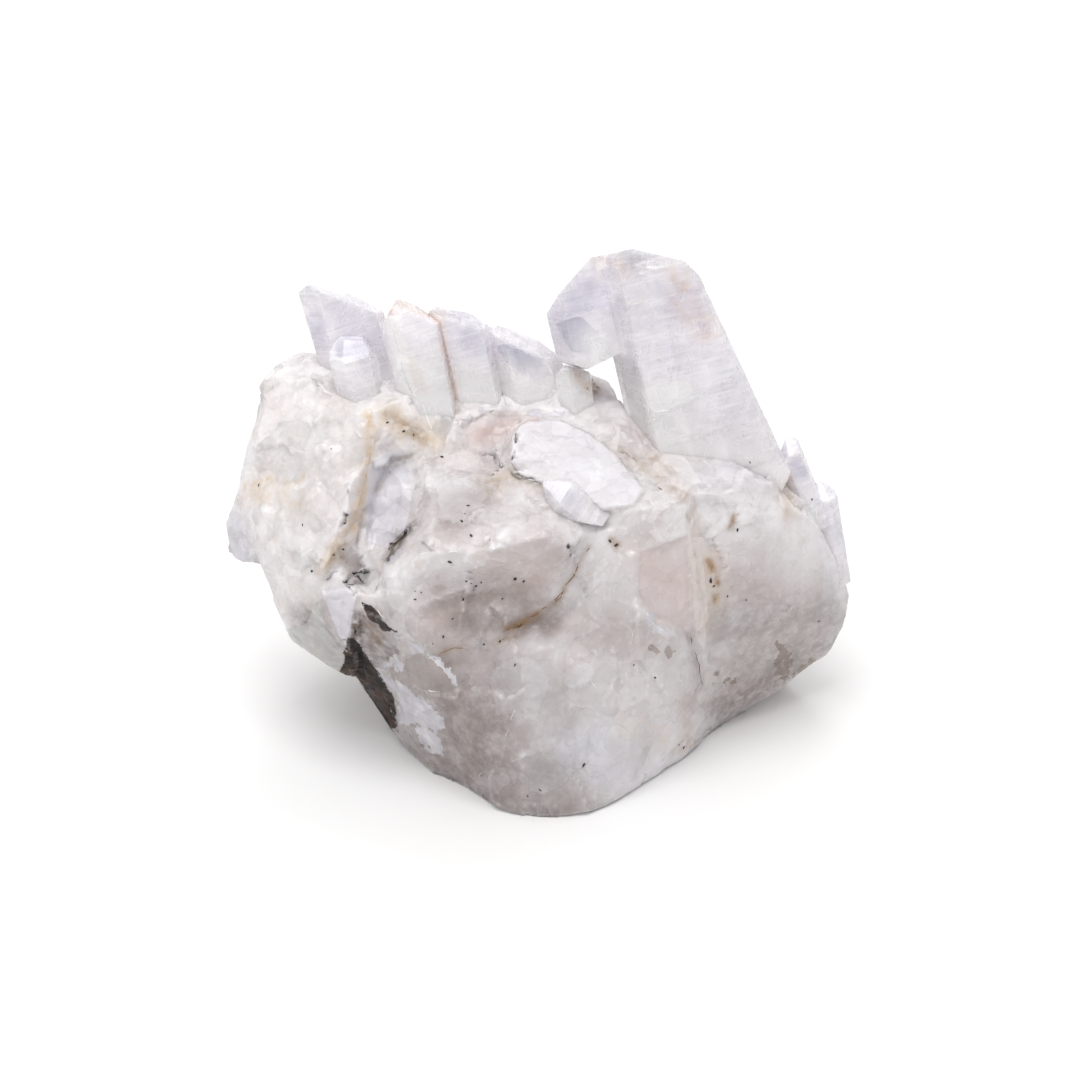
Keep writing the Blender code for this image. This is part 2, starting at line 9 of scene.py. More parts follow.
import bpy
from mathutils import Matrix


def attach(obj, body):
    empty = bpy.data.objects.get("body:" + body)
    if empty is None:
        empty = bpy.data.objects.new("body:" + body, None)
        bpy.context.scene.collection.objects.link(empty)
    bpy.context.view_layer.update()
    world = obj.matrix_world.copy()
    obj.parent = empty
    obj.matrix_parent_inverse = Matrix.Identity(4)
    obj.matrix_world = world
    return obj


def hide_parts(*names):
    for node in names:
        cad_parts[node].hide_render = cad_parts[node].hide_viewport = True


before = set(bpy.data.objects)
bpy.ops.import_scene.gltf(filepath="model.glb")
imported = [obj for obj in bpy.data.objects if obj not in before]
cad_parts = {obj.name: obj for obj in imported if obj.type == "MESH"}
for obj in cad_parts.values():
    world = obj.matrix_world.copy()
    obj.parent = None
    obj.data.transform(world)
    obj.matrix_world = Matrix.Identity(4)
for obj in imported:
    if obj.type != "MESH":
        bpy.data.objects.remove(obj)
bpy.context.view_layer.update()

# %% Modules
import math

import bmesh
import bpy
import numpy as np
from mathutils import Vector, noise
from mathutils.bvhtree import BVHTree

MM = 0.001
noise.seed_set(11)
random = np.random.default_rng(11)

# %% [markdown]
# ## The view
# The photographer looked down at the stone by about 30 degrees, from far enough away that near
# and far parts look almost the same size. A feature of the front is easiest to place by where it
# is seen: so far across, so far up, and so far away from the middle of the view. Two small
# functions turn such places into the frame's own coordinates and back.

# %% View coordinates
VIEW_TILT = math.radians(30)
VIEW_DISTANCE = 600.0
VIEW_MIDDLE = np.array((0.25, -12.1, 38.798))
TOWARD_VIEWER = np.array((0, -math.cos(VIEW_TILT), math.sin(VIEW_TILT)))


def seen(across, up, away):
    """A place in metres from where the viewer sees it, in millimetres."""
    grow = 1 + away / VIEW_DISTANCE
    across, up = across * grow, up * grow
    y = away * math.cos(VIEW_TILT) + up * math.sin(VIEW_TILT)
    z = up * math.cos(VIEW_TILT) - away * math.sin(VIEW_TILT)
    return Vector(VIEW_MIDDLE + (across, y, z)) * MM


def as_viewed(places):
    """Across, up and away in millimetres for an array of places in metres."""
    p = np.asarray(places) / MM - VIEW_MIDDLE
    up = p[:, 2] * math.cos(VIEW_TILT) + p[:, 1] * math.sin(VIEW_TILT)
    away = p[:, 1] * math.cos(VIEW_TILT) - p[:, 2] * math.sin(VIEW_TILT)
    grow = 1 + away / VIEW_DISTANCE
    return np.column_stack((p[:, 0] / grow, up / grow, away))


# %% [markdown]
# ## The camera
# A long lens from 60 cm keeps the depth flat, as the photograph does. The camera looks straight
# at the middle of the view, so it needs no shift.

# %% Camera
LENS = 125
camera_place = Vector((VIEW_MIDDLE + TOWARD_VIEWER * VIEW_DISTANCE) * MM)
bpy.ops.object.camera_add(location=camera_place, rotation=(math.pi / 2 - VIEW_TILT, 0, 0))
camera = bpy.context.object
camera.data.lens = LENS
camera.data.sensor_width = 36
camera.data.clip_start = 0.01
bpy.context.scene.camera = camera
print("camera stands", round(camera_place.length, 3), "m from the origin")

# %% [markdown]
# ## The studio
# Clear crystal shows what stands around it, so a room that is white all over would make it
# vanish. The world is bright overhead and greyer near the horizon, one wide soft lamp gives the
# light a side to come from, and a pale floor throws light back up.

# %% World and floor
HORIZON_GREY = 0.335
OVERHEAD = 0.95
world = bpy.data.worlds.new("soft_studio")
bpy.context.scene.world = world
world.use_nodes = True
sky = world.node_tree
direction = sky.nodes.new("ShaderNodeTexCoord")
height = sky.nodes.new("ShaderNodeSeparateXYZ")
fade = sky.nodes.new("ShaderNodeMapRange")
sky.links.new(direction.outputs["Generated"], height.inputs["Vector"])
sky.links.new(height.outputs["Z"], fade.inputs["Value"])
for name, value in (("From Max", 0.9), ("To Min", HORIZON_GREY), ("To Max", OVERHEAD)):
    fade.inputs[name].default_value = value
sky.links.new(fade.outputs["Result"], sky.nodes["Background"].inputs["Strength"])
sky.nodes["Background"].inputs["Color"].default_value = (1, 0.99, 0.985, 1)

bpy.ops.mesh.primitive_plane_add(size=8, location=(0, 0, 0))
floor = bpy.context.object
floor.name = "floor"
paper = bpy.data.materials.new("pale_floor")
paper.use_nodes = True
matt = paper.node_tree.nodes["Principled BSDF"].inputs
matt["Base Color"].default_value = (0.86, 0.86, 0.86, 1)
matt["Roughness"].default_value = 0.95
matt["Specular IOR Level"].default_value = 0.1
floor.data.materials.append(paper)
bpy.context.scene.view_settings.view_transform = "Standard"
print("floor", tuple(floor.dimensions))


# %% Lamps
def soft_lamp(name, place, size, power):
    """A square lamp that looks at the stone."""
    bpy.ops.object.light_add(type="AREA", location=place)
    lamp = bpy.context.object
    lamp.name = name
    lamp.data.size = size
    lamp.data.energy = power
    lamp.rotation_euler = (Vector((0, 0, 0.03)) - lamp.location).to_track_quat("-Z", "Y").to_euler()
    return lamp


soft_lamp("key_lamp", (-0.14, -0.2, 1.0), 0.6, 5.2)
soft_lamp("back_lamp", (0.1, 0.6, 0.8), 0.5, 1.8)

# %% [markdown]
# ## Working by hand, in code
# Every mesh operator acts on what is selected, so each step starts by selecting one object and
# nothing else. Many steps run one operator on a whole mesh, so a helper does that. The packed
# nodes are never touched: a piece starts from a copy of a node's mesh, with its loose triangles
# merged.


# %% Selecting and copying
SAME_PLACE = 1e-6


def only(obj):
    bpy.ops.object.select_all(action="DESELECT")
    obj.select_set(True)
    bpy.context.view_layer.objects.active = obj


def apply_all(obj):
    only(obj)
    for modifier in list(obj.modifiers):
        bpy.ops.object.modifier_apply(modifier=modifier.name)


def mesh_step(obj, operator, **settings):
    """Runs one mesh operator on the whole of an object's mesh."""
    only(obj)
    bpy.ops.object.mode_set(mode="EDIT")
    bpy.ops.mesh.select_mode(type="VERT")
    bpy.ops.mesh.select_all(action="SELECT")
    operator(**settings)
    bpy.ops.object.mode_set(mode="OBJECT")


def linked(name, data):
    """A new object in the scene."""
    made = bpy.data.objects.new(name, data)
    bpy.context.scene.collection.objects.link(made)
    return made


def copy_of(node, name):
    """A new object with a copy of a node's mesh, its doubles merged."""
    piece = linked(name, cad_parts[node].data.copy())
    piece.data.materials.clear()
    mesh_step(piece, bpy.ops.mesh.remove_doubles, threshold=SAME_PLACE)
    return piece


def finished(piece, slot, *nodes):
    """Attaches the piece to the root and hides the nodes that it stands for. The slot is not used."""
    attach(piece, "root")
    if nodes:
        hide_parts(*nodes)
    print(piece.name, len(piece.data.polygons), "faces")


# %% [markdown]
# ## The milky stone
# The real base is one broken lump, and the points grow straight out of it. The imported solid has
# a socket round each point instead, with a thin gap. Here the sockets are found by their
# distance to the points, deleted, and closed by drawing each open rim together, so that stone
# and crystal touch.

# %% Close the sockets
GAP = 0.3 * MM
SEARCH = 2 * GAP
WALL_REACH = 1.25 * GAP
FACE_TO_FACE = -0.9
POINTS = sorted(set(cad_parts) - {"milky_base"})
stone = copy_of("milky_base", "milky_stone")
evaluated = bpy.context.evaluated_depsgraph_get()
trees = [BVHTree.FromObject(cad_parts[name], evaluated) for name in POINTS]
only(stone)
bpy.ops.object.mode_set(mode="EDIT")
bpy.ops.mesh.select_mode(type="FACE")
bpy.ops.mesh.select_all(action="DESELECT")
bm = bmesh.from_edit_mesh(stone.data)
for face in bm.faces:
    middle = face.calc_center_median()
    for tree in trees:
        _, normal, _, distance = tree.find_nearest(middle, SEARCH)
        if normal and distance < WALL_REACH and normal.dot(face.normal) < FACE_TO_FACE:
            face.select = True
            break
bmesh.update_edit_mesh(stone.data)
bpy.ops.mesh.delete(type="FACE")
bm = bmesh.from_edit_mesh(stone.data)
rims = []
left = {e for e in bm.edges if e.is_boundary}
while left:
    rim = [left.pop()]
    for edge in rim:
        for end in edge.verts:
            for other in end.link_edges:
                if other in left:
                    left.remove(other)
                    rim.append(other)
    rims.append([e.index for e in rim])
print("rims of", [len(rim) for rim in rims], "edges")
bpy.ops.object.mode_set(mode="OBJECT")

# %% Draw each open rim together
for rim in rims:
    only(stone)
    bpy.ops.object.mode_set(mode="EDIT")
    bpy.ops.mesh.select_mode(type="EDGE")
    bpy.ops.mesh.select_all(action="DESELECT")
    bm = bmesh.from_edit_mesh(stone.data)
    bm.edges.ensure_lookup_table()
    for index in rim:
        bm.edges[index].select = True
    bmesh.update_edit_mesh(stone.data)
    bpy.ops.mesh.extrude_edges_move()
    bpy.ops.mesh.merge(type="CENTER")
    bpy.ops.object.mode_set(mode="OBJECT")
print("stone after closing:", len(stone.data.vertices), "corners")

# %% [markdown]
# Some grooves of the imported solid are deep, because a simple solid shows a crack only that way.
# On the real stone they are shallow seams. Small balls sunk in the deepest ones fill them, flat
# slabs cover the widest ones, and the new skin that follows closes over both.

# %% Grooves to fill and hollows to cover
FILLED = [
    ([(-2.4, 17.6), (0.6, 19.4), (3.6, 20.2)], 1.5),
    ([(-4.4, 19), (-5.6, 17.4), (-5.8, 14), (-5.4, 11.4)], 1.9),
    ([(-31, -5.4), (-29, -7), (-28, -9.4), (-27.6, -12)], 2.0),
    ([(-21.4, 7), (-22, 2), (-24, -2), (-27.6, -5.6)], 1.5),
    ([(8, -1), (4.6, -7), (2, -10.6), (-3, -13.4)], 1.5),
    ([(-26.8, -9.4), (-26.4, -12), (-25.4, -14.6), (-23.6, -18.4)], 2.0),
    ([(-28.4, -13), (-27.6, -17)], 1.8),
    ([(4, -7), (6.4, -10)], 1.6),
]
COVERED = {
    "recess": [(-27.8, 12.5), (-24, 14.6), (-20.4, 14.8), (-20.2, 6), (-21, 1.6), (-24.6, -2.6),
               (-28.6, -0.6), (-28.4, 6)],
    "above_recess": [(-28.4, 18.6), (-20.5, 16.8), (-19.5, 13), (-24, 12.4), (-28, 11.6)],
    "trench_top": [(-31.6, -3), (-27, -2.6), (-24, -4), (-22, -8), (-24.5, -12), (-29, -10.5),
                   (-32, -8)],
    "rim_foot": [(-30.8, 9), (-28, 9.6), (-27.6, 2), (-29, -3), (-32.8, -4.4), (-33, -0.6), (-31.4, 4)],
    "tablet": [(-4.8, 12.6), (-4.6, 16.2), (-3.4, 18.3), (-1.8, 19.1), (3.2, 19.3), (8, 17),
               (12.2, 13.6), (16.4, 8.6), (14.6, 6), (10, 5), (3, 8.5), (-2.6, 10)],
    "under_row": [(-3.6, 12.6), (-3.2, 16.4), (-2, 18.4), (-6, 19.8), (-8, 20), (-12.6, 18),
                  (-12.6, 15), (-8, 13.4)],
}
BACK_HOLLOW = [(-6.4, 23.2, 33.4), (-3.6, 23.4, 34), (-0.8, 23.4, 34.4), (2, 23, 34.4), (-6.6, 21.6, 36.8),
               (-3.4, 21.6, 37.4), (-0.4, 21.4, 37.6), (2.6, 21.4, 37.2)]
print("to fill:", len(FILLED), "grooves; to cover:", ", ".join(COVERED))

# %% [markdown]
# A slab lies on the plane that suits most of what is seen inside its outline. The same fit is
# used later for flat facets, so it is a helper of its own.


# %% Lines, planes and slabs on the view
def skin_tree(obj):
    return BVHTree.FromPolygons([v.co for v in obj.data.vertices], [p.vertices for p in obj.data.polygons])


def line_of_sight(across, up):
    return (seen(across, up, 0) - camera_place).normalized()


def sampled(line, spacing):
    """Points along a line drawn on the view, at even distances."""
    line = np.asarray(line, float)
    steps = np.linalg.norm(np.diff(line, axis=0), axis=1)
    reach = np.concatenate(([0], steps.cumsum()))
    at = np.linspace(0, reach[-1], max(2, int(reach[-1] / spacing) + 1))
    return np.column_stack([np.interp(at, reach, line[:, i]) for i in (0, 1)])


FIT_ROUNDS = 3
STRAY = 1.6


def best_plane(view):
    """Two slopes and a height of the plane that suits most of some seen places."""
    for _ in range(FIT_ROUNDS):
        sides = np.column_stack((view[:, :2], np.ones(len(view))))
        plane = np.linalg.lstsq(sides, view[:, 2], rcond=None)[0]
        off = view[:, 2] - view[:, :2] @ plane[:2] - plane[2]
        view = view[np.abs(off) < max(1.0, STRAY * off.std())]
    return plane


SPREAD = (0.2, 0.4, 0.6, 0.8, 0.95)
COVER_THICK = 4.5


def cover(tree, outline, lift):
    """A flat slab over a hollow. Its front lies near the plane that suits what is seen there."""
    corners = np.array(outline)
    middle = corners.mean(axis=0)
    spots = np.vstack([middle + share * (corners - middle) for share in SPREAD])
    hits = [tree.ray_cast(camera_place, line_of_sight(*spot))[0] for spot in spots]
    plane = best_plane(as_viewed([hit for hit in hits if hit]))
    away = corners @ plane[:2] + plane[2] - lift
    count = len(corners)
    places = [seen(*spot, far) for spot, far in zip(corners, away)]
    places += [seen(*spot, far + COVER_THICK) for spot, far in zip(corners, away)]
    sides = [(i, i + count, (i + 1) % count + count, (i + 1) % count) for i in range(count)]
    mesh = bpy.data.meshes.new("cover")
    ends = [tuple(range(count)), tuple(range(2 * count - 1, count - 1, -1))]
    mesh.from_pydata(places, [], ends + sides)
    made = linked("cover", mesh)
    mesh_step(made, bpy.ops.mesh.normals_make_consistent, inside=False)
    return made


# %% Fill the deep grooves
LIFTED = {"recess": 0.9, "under_row": -1.5}
BALL_STEP = 0.5
AROUND = 1.9
SUNK = 0.85
BACK_RADIUS = 3.4


def ball(middle, radius):
    bpy.ops.mesh.primitive_ico_sphere_add(subdivisions=2, radius=radius * MM, location=middle)
    return bpy.context.object


packed_tree = skin_tree(stone)
balls = [cover(packed_tree, outline, LIFTED.get(name, 0)) for name, outline in COVERED.items()]
for line, radius in FILLED:
    for across, up in sampled(line, radius * BALL_STEP):
        around = []
        for turn in np.linspace(0, 2 * math.pi, 8, endpoint=False):
            reach = AROUND * radius
            spot = (across + reach * math.cos(turn), up + reach * math.sin(turn))
            hit = packed_tree.ray_cast(camera_place, line_of_sight(*spot))[0]
            if hit:
                around.append(as_viewed([hit])[0][2])
        middle = seen(across, up, np.median(around) + radius * SUNK)
        balls.append(ball(middle, radius))
for middle in BACK_HOLLOW:
    balls.append(ball(Vector(middle) * MM, BACK_RADIUS))
only(stone)
for sunk in balls:
    sunk.select_set(True)
bpy.ops.object.join()
print("sunk", len(balls), "balls and slabs")

# %% [markdown]
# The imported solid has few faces, so it looks cut from card. A voxel remesh lays an even skin of
# small faces over it, and smoothing takes the card-cut look away. The remesh also joins the
# closed sockets to the stone.

# %% An even skin
SKIN = 0.55 * MM


def even_skin(rounds):
    """Lays a skin of small even faces over the stone and smooths it some rounds."""
    remesh = stone.modifiers.new("skin", "REMESH")
    remesh.mode = "VOXEL"
    remesh.voxel_size = SKIN
    soften = stone.modifiers.new("soften", "SMOOTH")
    soften.iterations = rounds
    soften.factor = 0.5
    apply_all(stone)
    print("skin:", len(stone.data.polygons), "faces")


even_skin(7)

# %% [markdown]
# ## Shaping the skin
# A few helpers read and write all corners of the skin at once, and say how far a corner is from
# a line or inside an outline that is drawn on the view.


# %% Reading and writing the skin
def read_places(obj):
    flat = np.empty(len(obj.data.vertices) * 3, np.float32)
    obj.data.vertices.foreach_get("co", flat)
    return flat.reshape(-1, 3).astype(float)


def read_normals(obj):
    flat = np.empty(len(obj.data.vertices) * 3, np.float32)
    obj.data.vertex_normals.foreach_get("vector", flat)
    return flat.reshape(-1, 3).astype(float)


def write_places(obj, places):
    obj.data.vertices.foreach_set("co", places.astype(np.float32).ravel())
    obj.data.update()


def smooth_step(value, low, high):
    share = np.clip((value - low) / (high - low), 0, 1)
    return share * share * (3 - 2 * share)


def line_distance(view, line):
    """How far each seen place is from a line drawn on the view, in millimetres."""
    nearest = np.full(len(view), np.inf)
    line = np.asarray(line, float)
    for start, end in zip(line, line[1:]):
        along = end - start
        share = np.clip(((view[:, :2] - start) @ along) / (along @ along), 0, 1)
        off = view[:, :2] - start - share[:, None] * along
        nearest = np.minimum(nearest, np.linalg.norm(off, axis=1))
    return nearest


def inside_depth(view, outline):
    """How far inside an outline drawn on the view each place lies. Outside it is negative."""
    x, y = view[:, 0], view[:, 1]
    odd = np.zeros(len(view), bool)
    for (x0, y0), (x1, y1) in zip(outline, outline[1:] + outline[:1]):
        crosses = (y0 > y) != (y1 > y)
        odd ^= crosses & (x < x0 + (y - y0) / ((y1 - y0) or 1e-9) * (x1 - x0))
    return np.where(odd, 1, -1) * line_distance(view, outline + outline[:1])


# %% [markdown]
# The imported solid's grooves are wide, so that a simple solid can hold them. Along those lines the
# skin is first drawn smooth, because the real cracks are thin and come later.

# %% Heal the wide grooves
HEALED = [
    ([(8, -1), (4, -8), (-1, -12), (-5, -14), (-13, -17), (-16, -18.2)], 2.0),
    ([(24, 6), (25, -6), (26.5, -20), (28.5, -31)], 2.4),
    ([(12.8, 14), (20, 8.6), (24, 6.5)], 2.2),
]


def edge_pairs(obj):
    flat = np.empty(len(obj.data.edges) * 2, np.int32)
    obj.data.edges.foreach_get("vertices", flat)
    return flat.reshape(-1, 2)


def smoothed(values, pairs, rounds):
    """The values averaged with their neighbours, several times over."""
    values = values.copy()
    links = np.bincount(pairs.ravel(), minlength=len(values))
    for _ in range(rounds):
        total = np.zeros_like(values)
        np.add.at(total, pairs[:, 0], values[pairs[:, 1]])
        np.add.at(total, pairs[:, 1], values[pairs[:, 0]])
        values = 0.5 * values + 0.5 * total / links.reshape((-1,) + (1,) * (values.ndim - 1))
    return values


places = read_places(stone)
pairs = edge_pairs(stone)
view = as_viewed(places)
share = np.zeros(len(places))
for line, wide in HEALED:
    share = np.maximum(share, np.exp(-((line_distance(view, line) / wide) ** 4)))
share *= smooth_step(read_normals(stone) @ TOWARD_VIEWER, -0.3, 0.0) * smooth_step(-view[:, 2], -26, -20)
places += (smoothed(places, pairs, 40) - places) * share[:, None]
write_places(stone, places)
print("healed", int((share > 0.5).sum()), "corners")

# %% [markdown]
# ## The landmarks of the front
# Some ledges, hollows and cracks give this stone its face. They are drawn as lines and outlines
# on the view, each with a width and a depth in millimetres, and pushed along the line of sight.
# A place that the viewer can't see from the front is left alone.

# %% Outlines that are raised or sunken
TABLET = [(-4.8, 12.6), (-4.6, 16.2), (-3.4, 18.3), (-1.8, 19.1), (3.2, 19.3), (8, 17), (12.2, 13.6),
          (16.8, 8), (15, 5.6), (10, 4.6), (3, 8.3), (-2.8, 9.8)]
RAISED = {
    "white_tablet": (TABLET, 0.5, 0.7),
    "slab_rim": ([(-27.6, 21), (-27.2, 12), (-29, 5), (-31, 0.8), (-35, -5), (-37.6, -7), (-42, -4),
                  (-46, 8), (-44, 20), (-38, 28), (-31, 23)], 0.45, 0.6),
    "alcove": ([(-17, -4), (-10, -5), (-4, -5.4), (0.4, -7.4), (0, -12), (-5, -14), (-10, -17.2),
                (-17, -17.2), (-21.6, -12), (-20, -8)], -0.55, 3.2),
    "under_row": ([(-13, 18.4), (-8, 20.6), (4.5, 19.8), (0, 19.2), (-4.6, 18.2), (-5, 13), (-8, 14),
                   (-13, 15)], -0.8, 0.8),
    "pink_panel": ([(16, -2), (23.6, 1), (24, -14.6), (18.6, -12.6), (15.6, -9)], -0.4, 0.35),
    "smoky_facet": ([(-21.6, -19), (-19.1, -18), (-15.8, -20.4), (-13.5, -23.7), (-13.6, -24.8),
                     (-17.2, -24.6), (-20, -23.2), (-21.6, -21)], -0.5, 0.4),
    "right_face": ([(24, 6.5), (24.5, 3), (24.3, 0), (24.8, -4), (25.7, -8), (26.5, -16), (28.5, -31),
                    (52, -24), (52, -4), (40, 5)], -0.5, 0.7),
    "block": ([(15, -10), (17.3, -11.5), (18.5, -14), (24, -15.5), (26, -23.5), (20, -25), (15.4, -18)],
              0.4, 0.7),
    "upper_shell": ([(26, 8), (30, 2), (40, 4), (46, 8), (42, 14), (34, 16)], 0.35, 0.5),
    "left_chip": ([(-18, -24), (-13.5, -24), (-12, -28), (-15, -33), (-18.4, -30)], 0.35, 0.4),
    "low_shell": ([(-16, -38), (-9, -34), (-2, -37), (2, -44), (-8, -43)], -0.4, 0.8),
    "front_shell": ([(3, -17), (10, -14), (14, -19), (11, -27), (4, -26)], -0.35, 1.0),
}
print("outlines:", ", ".join(RAISED))

# %% Lines of grooves and ridges
GROOVES = {
    "rust_crack": ([(8, -1), (6.5, -3), (5.5, -5.5), (4, -7.5), (3.2, -9.3), (1.5, -11), (-1, -12),
                    (-3, -13.5), (-5, -14.2)], 0.38, 0.5),
    "lower_crack": ([(-4, -15.5), (-7, -16.5), (-11.5, -17.2), (-14, -17.3), (-16, -18.2)], 0.35, 0.25),
    "dark_crevice": ([(-20, 3), (-22, 0), (-24, -2.5), (-27.5, -5.5)], 0.8, 0.9),
    "upright_crack": ([(24, -15.5), (25.3, -19.5), (26, -23.5), (27.5, -25.5), (28.5, -31)], 0.38, 0.5),
    "upright_step": ([(24, 6.5), (24.5, 3), (24.3, 0), (24.8, -4), (25.7, -8), (26.5, -16)], 0.7, 0.2),
    "brown_slit": ([(12.8, 14.2), (14.5, 13.3), (18, 11), (21, 8.5), (24, 6.5)], 0.4, 0.4),
    "second_slit": ([(17, 13.2), (19, 13), (21, 10.5)], 0.4, 0.4),
    "black_hollow": ([(-28, -10.6), (-25.6, -16), (-26.4, -22), (-23.8, -28)], 1.2, 0.6),
    "slab_line": ([(-47, 8.5), (-43.5, 9.8), (-40, 9), (-38, 10)], 0.5, 0.25),
    "tablet_foot": ([(-5.2, 12), (-2.6, 9.2), (3.2, 7.6), (10.2, 3.8)], 0.6, 0.4),
    "block_edge": ([(15, -10), (17.3, -11.5), (18.5, -14), (24, -15.5)], 0.5, 0.3),
}
RIDGES = {
    "lump_ledge": ([(-24, -5.5), (-19, -2), (-13, -1.5), (-7, -2.5), (-2, 0.5)], 1.6, 0.4),
    "left_ridge": ([(-27, -10), (-24.5, -13.5), (-20, -17), (-15.5, -20.5), (-13.5, -24)], 0.9, 0.6),
    "front_ridge": ([(-15.5, -20.5), (-17, -26), (-16, -31)], 0.8, 0.3),
    "row_sill": ([(-13, 18.8), (-9.5, 20.7), (-8, 21.2), (0, 20.6), (4.5, 20.2)], 0.6, 0.7),
    "fin_edge": ([(-35, -9.5), (-34.4, -12.4), (-32.6, -15.6), (-30.5, -18.5)], 0.7, 0.6),
    "tablet_edge": (TABLET[:5], 0.5, 0.35),
    "top_facet": ([(-10, -1.2), (-6.5, 0.6), (-3.4, 2.6), (-2.4, 5.4), (-5, 8), (-9, 11)], 0.8, 0.2),
}
print("grooves:", ", ".join(GROOVES), "and ridges:", ", ".join(RIDGES))

# %% Outlines that are pressed flat
PRESSED = {
    "lump_top": ([(-20, -1.4), (-19, 8), (-13, 12), (-9, 11), (-5, 8), (-2.4, 5.4), (-3.4, 2.6),
                  (-6.5, 0.6), (-10, -1.2), (-15, -2)], 0.75),
    "alcove": ([(-20, -8), (-17, -3.6), (-10, -4.4), (-4, -5), (0, -7), (3, -9), (0, -12), (-5, -14),
                (-10, -17), (-17, -17.5), (-22, -12)], 0.7),
    "ledge": ([(-24, -6), (-19, -1.8), (-13, -1.8), (-7, -2), (-2, 1), (2, 2), (6, -2), (3, -7),
               (-4, -5), (-10, -4.4), (-17, -3.6), (-21, -8)], 0.5),
    "recess": ([(-28, -1), (-27, 8), (-24, 13.5), (-20, 14), (-20, 6), (-21, 1), (-25, -3)], 0.8),
    "smoky_facet": (RAISED["smoky_facet"][0], 0.85),
    "black_flank": ([(-29, -11), (-25, -12), (-22, -18), (-24, -22), (-22.5, -28), (-25, -28),
                     (-29, -22)], 0.85),
    "cleavage": ([(-23, -23), (-18, -24), (-13, -24), (-14, -30), (-17, -35), (-21, -31)], 0.7),
    "front": ([(-5, -16), (2, -12), (8, -3), (14, -2), (15, -10), (18, -14), (24, -16), (26, -24),
               (22, -32), (8, -38), (-4, -36), (-10, -28)], 0.35),
    "right_face": ([(27, 2), (42, 4), (47, -4), (47, -12), (42, -19), (35, -23), (29, -26), (27, -16)],
                   0.35),
    "pink_panel": ([(14, -2), (23.6, 1), (24, -14.6), (18.6, -12.6), (15.6, -9)], 0.8),
    "slab": ([(-45, 8), (-43, 20), (-38, 27), (-32, 22), (-29, 14), (-31, 4), (-35, -2), (-42, -2)],
             0.3),
    "tablet": (TABLET, 0.8),
    "fin": ([(-35.1, -8.2), (-29.8, -7.4), (-29.3, -9.3), (-30.2, -13.5), (-30.2, -18.3),
             (-32.1, -15.3), (-33.7, -11.8)], 0.8),
    "under_row": ([(-13, 18.4), (-8, 20.6), (3.6, 19.8), (0, 19.2), (-4.8, 18.4), (-5.4, 13),
                   (-8, 13.4), (-13, 15)], 0.8),
}
print("pressed flat:", ", ".join(PRESSED))

# %% [markdown]
# What the viewer sees is found by looking back from every corner towards the camera. Where the
# way is free the corner may move, and the edge of that region is smoothed, so that no step shows.


# %% What the viewer sees
def front_share(obj):
    """1 where the viewer sees the skin from the front, 0 where it faces away or lies hidden."""
    tree = skin_tree(obj)
    places = read_places(obj)
    facing = smooth_step(read_normals(obj) @ TOWARD_VIEWER, 0.0, 0.25)
    in_sight = facing > 0
    for index in np.flatnonzero(in_sight):
        start = Vector(places[index])
        toward = (camera_place - start).normalized()
        in_sight[index] = tree.ray_cast(start + toward * 0.4 * MM, toward)[0] is None
    return facing * np.clip(smoothed(in_sight.astype(float), edge_pairs(obj), 2) * 1.3 - 0.3, 0, 1)


MOST_PRESSED = 2.5


def pressed(places, outline, strength, blend, facing):
    """The places with an outlined region pressed along the line of sight towards its plane."""
    view = as_viewed(places)
    inside = inside_depth(view, outline)
    plane = best_plane(view[(inside > 0.2) & (facing > 0.5)])
    off = np.clip(view[:, :2] @ plane[:2] + plane[2] - view[:, 2], -MOST_PRESSED, MOST_PRESSED)
    share = strength * smooth_step(inside, *blend) * facing
    return places - np.outer(share * off, TOWARD_VIEWER) * MM


# %% Landmarks
GENTLE = 0.4
GENTLE_BLEND = (-0.4, 4.0)
FIRM_BLEND = (-0.4, 0.7)
places = read_places(stone)
facing_viewer = front_share(stone)
for outline, strength in PRESSED.values():
    blend = FIRM_BLEND if strength > GENTLE else GENTLE_BLEND
    places = pressed(places, outline, strength, blend, facing_viewer)
view = as_viewed(places)
push = np.zeros(len(places))
for outline, height, edge in RAISED.values():
    push += height * smooth_step(inside_depth(view, outline), -edge / 2, edge / 2)
for line, wide, deep in GROOVES.values():
    push -= deep * np.exp(-((line_distance(view, line) / wide) ** 2))
for line, wide, high in RIDGES.values():
    push += high * np.clip(1 - line_distance(view, line) / wide, 0, 1)
places += np.outer(push * facing_viewer, TOWARD_VIEWER) * MM
write_places(stone, places)
print("landmarks push from", round(push.min(), 2), "to", round(push.max(), 2), "mm")

# %% [markdown]
# Pushing can fold a steep wall over itself, and a fold shows as a torn black spot. A second
# remesh lays a clean skin over the pushed one.

# %% A clean skin
even_skin(2)

# %% [markdown]
# ## Broken surfaces
# Quartz has no cleavage, so it breaks in shallow shells and flat chips with sharp rims. A
# sculptor would press a flat brush on the stone hundreds of times. The same is done here: seeds
# are scattered over the skin, every corner joins the seed that is nearest and faces its way, and
# each such patch is pressed towards one plane. Broad facets cover the stone, small ones only
# rough zones, and a fine grain follows. The front of the real stone is calm, so they are weak
# there.

# %% Facets
BROAD = (330, 0.75)
SMALL = (2600, 0.6)
BEND_SIZE = 3.5 * MM
BEND = 1.2
FACING_WEIGHT = 5
ROUGH_SIZE = 14 * MM
GRAIN_SIZE = 2.0 * MM
GRAIN_DEPTH = 0.07
LOWEST = 0.3 * MM


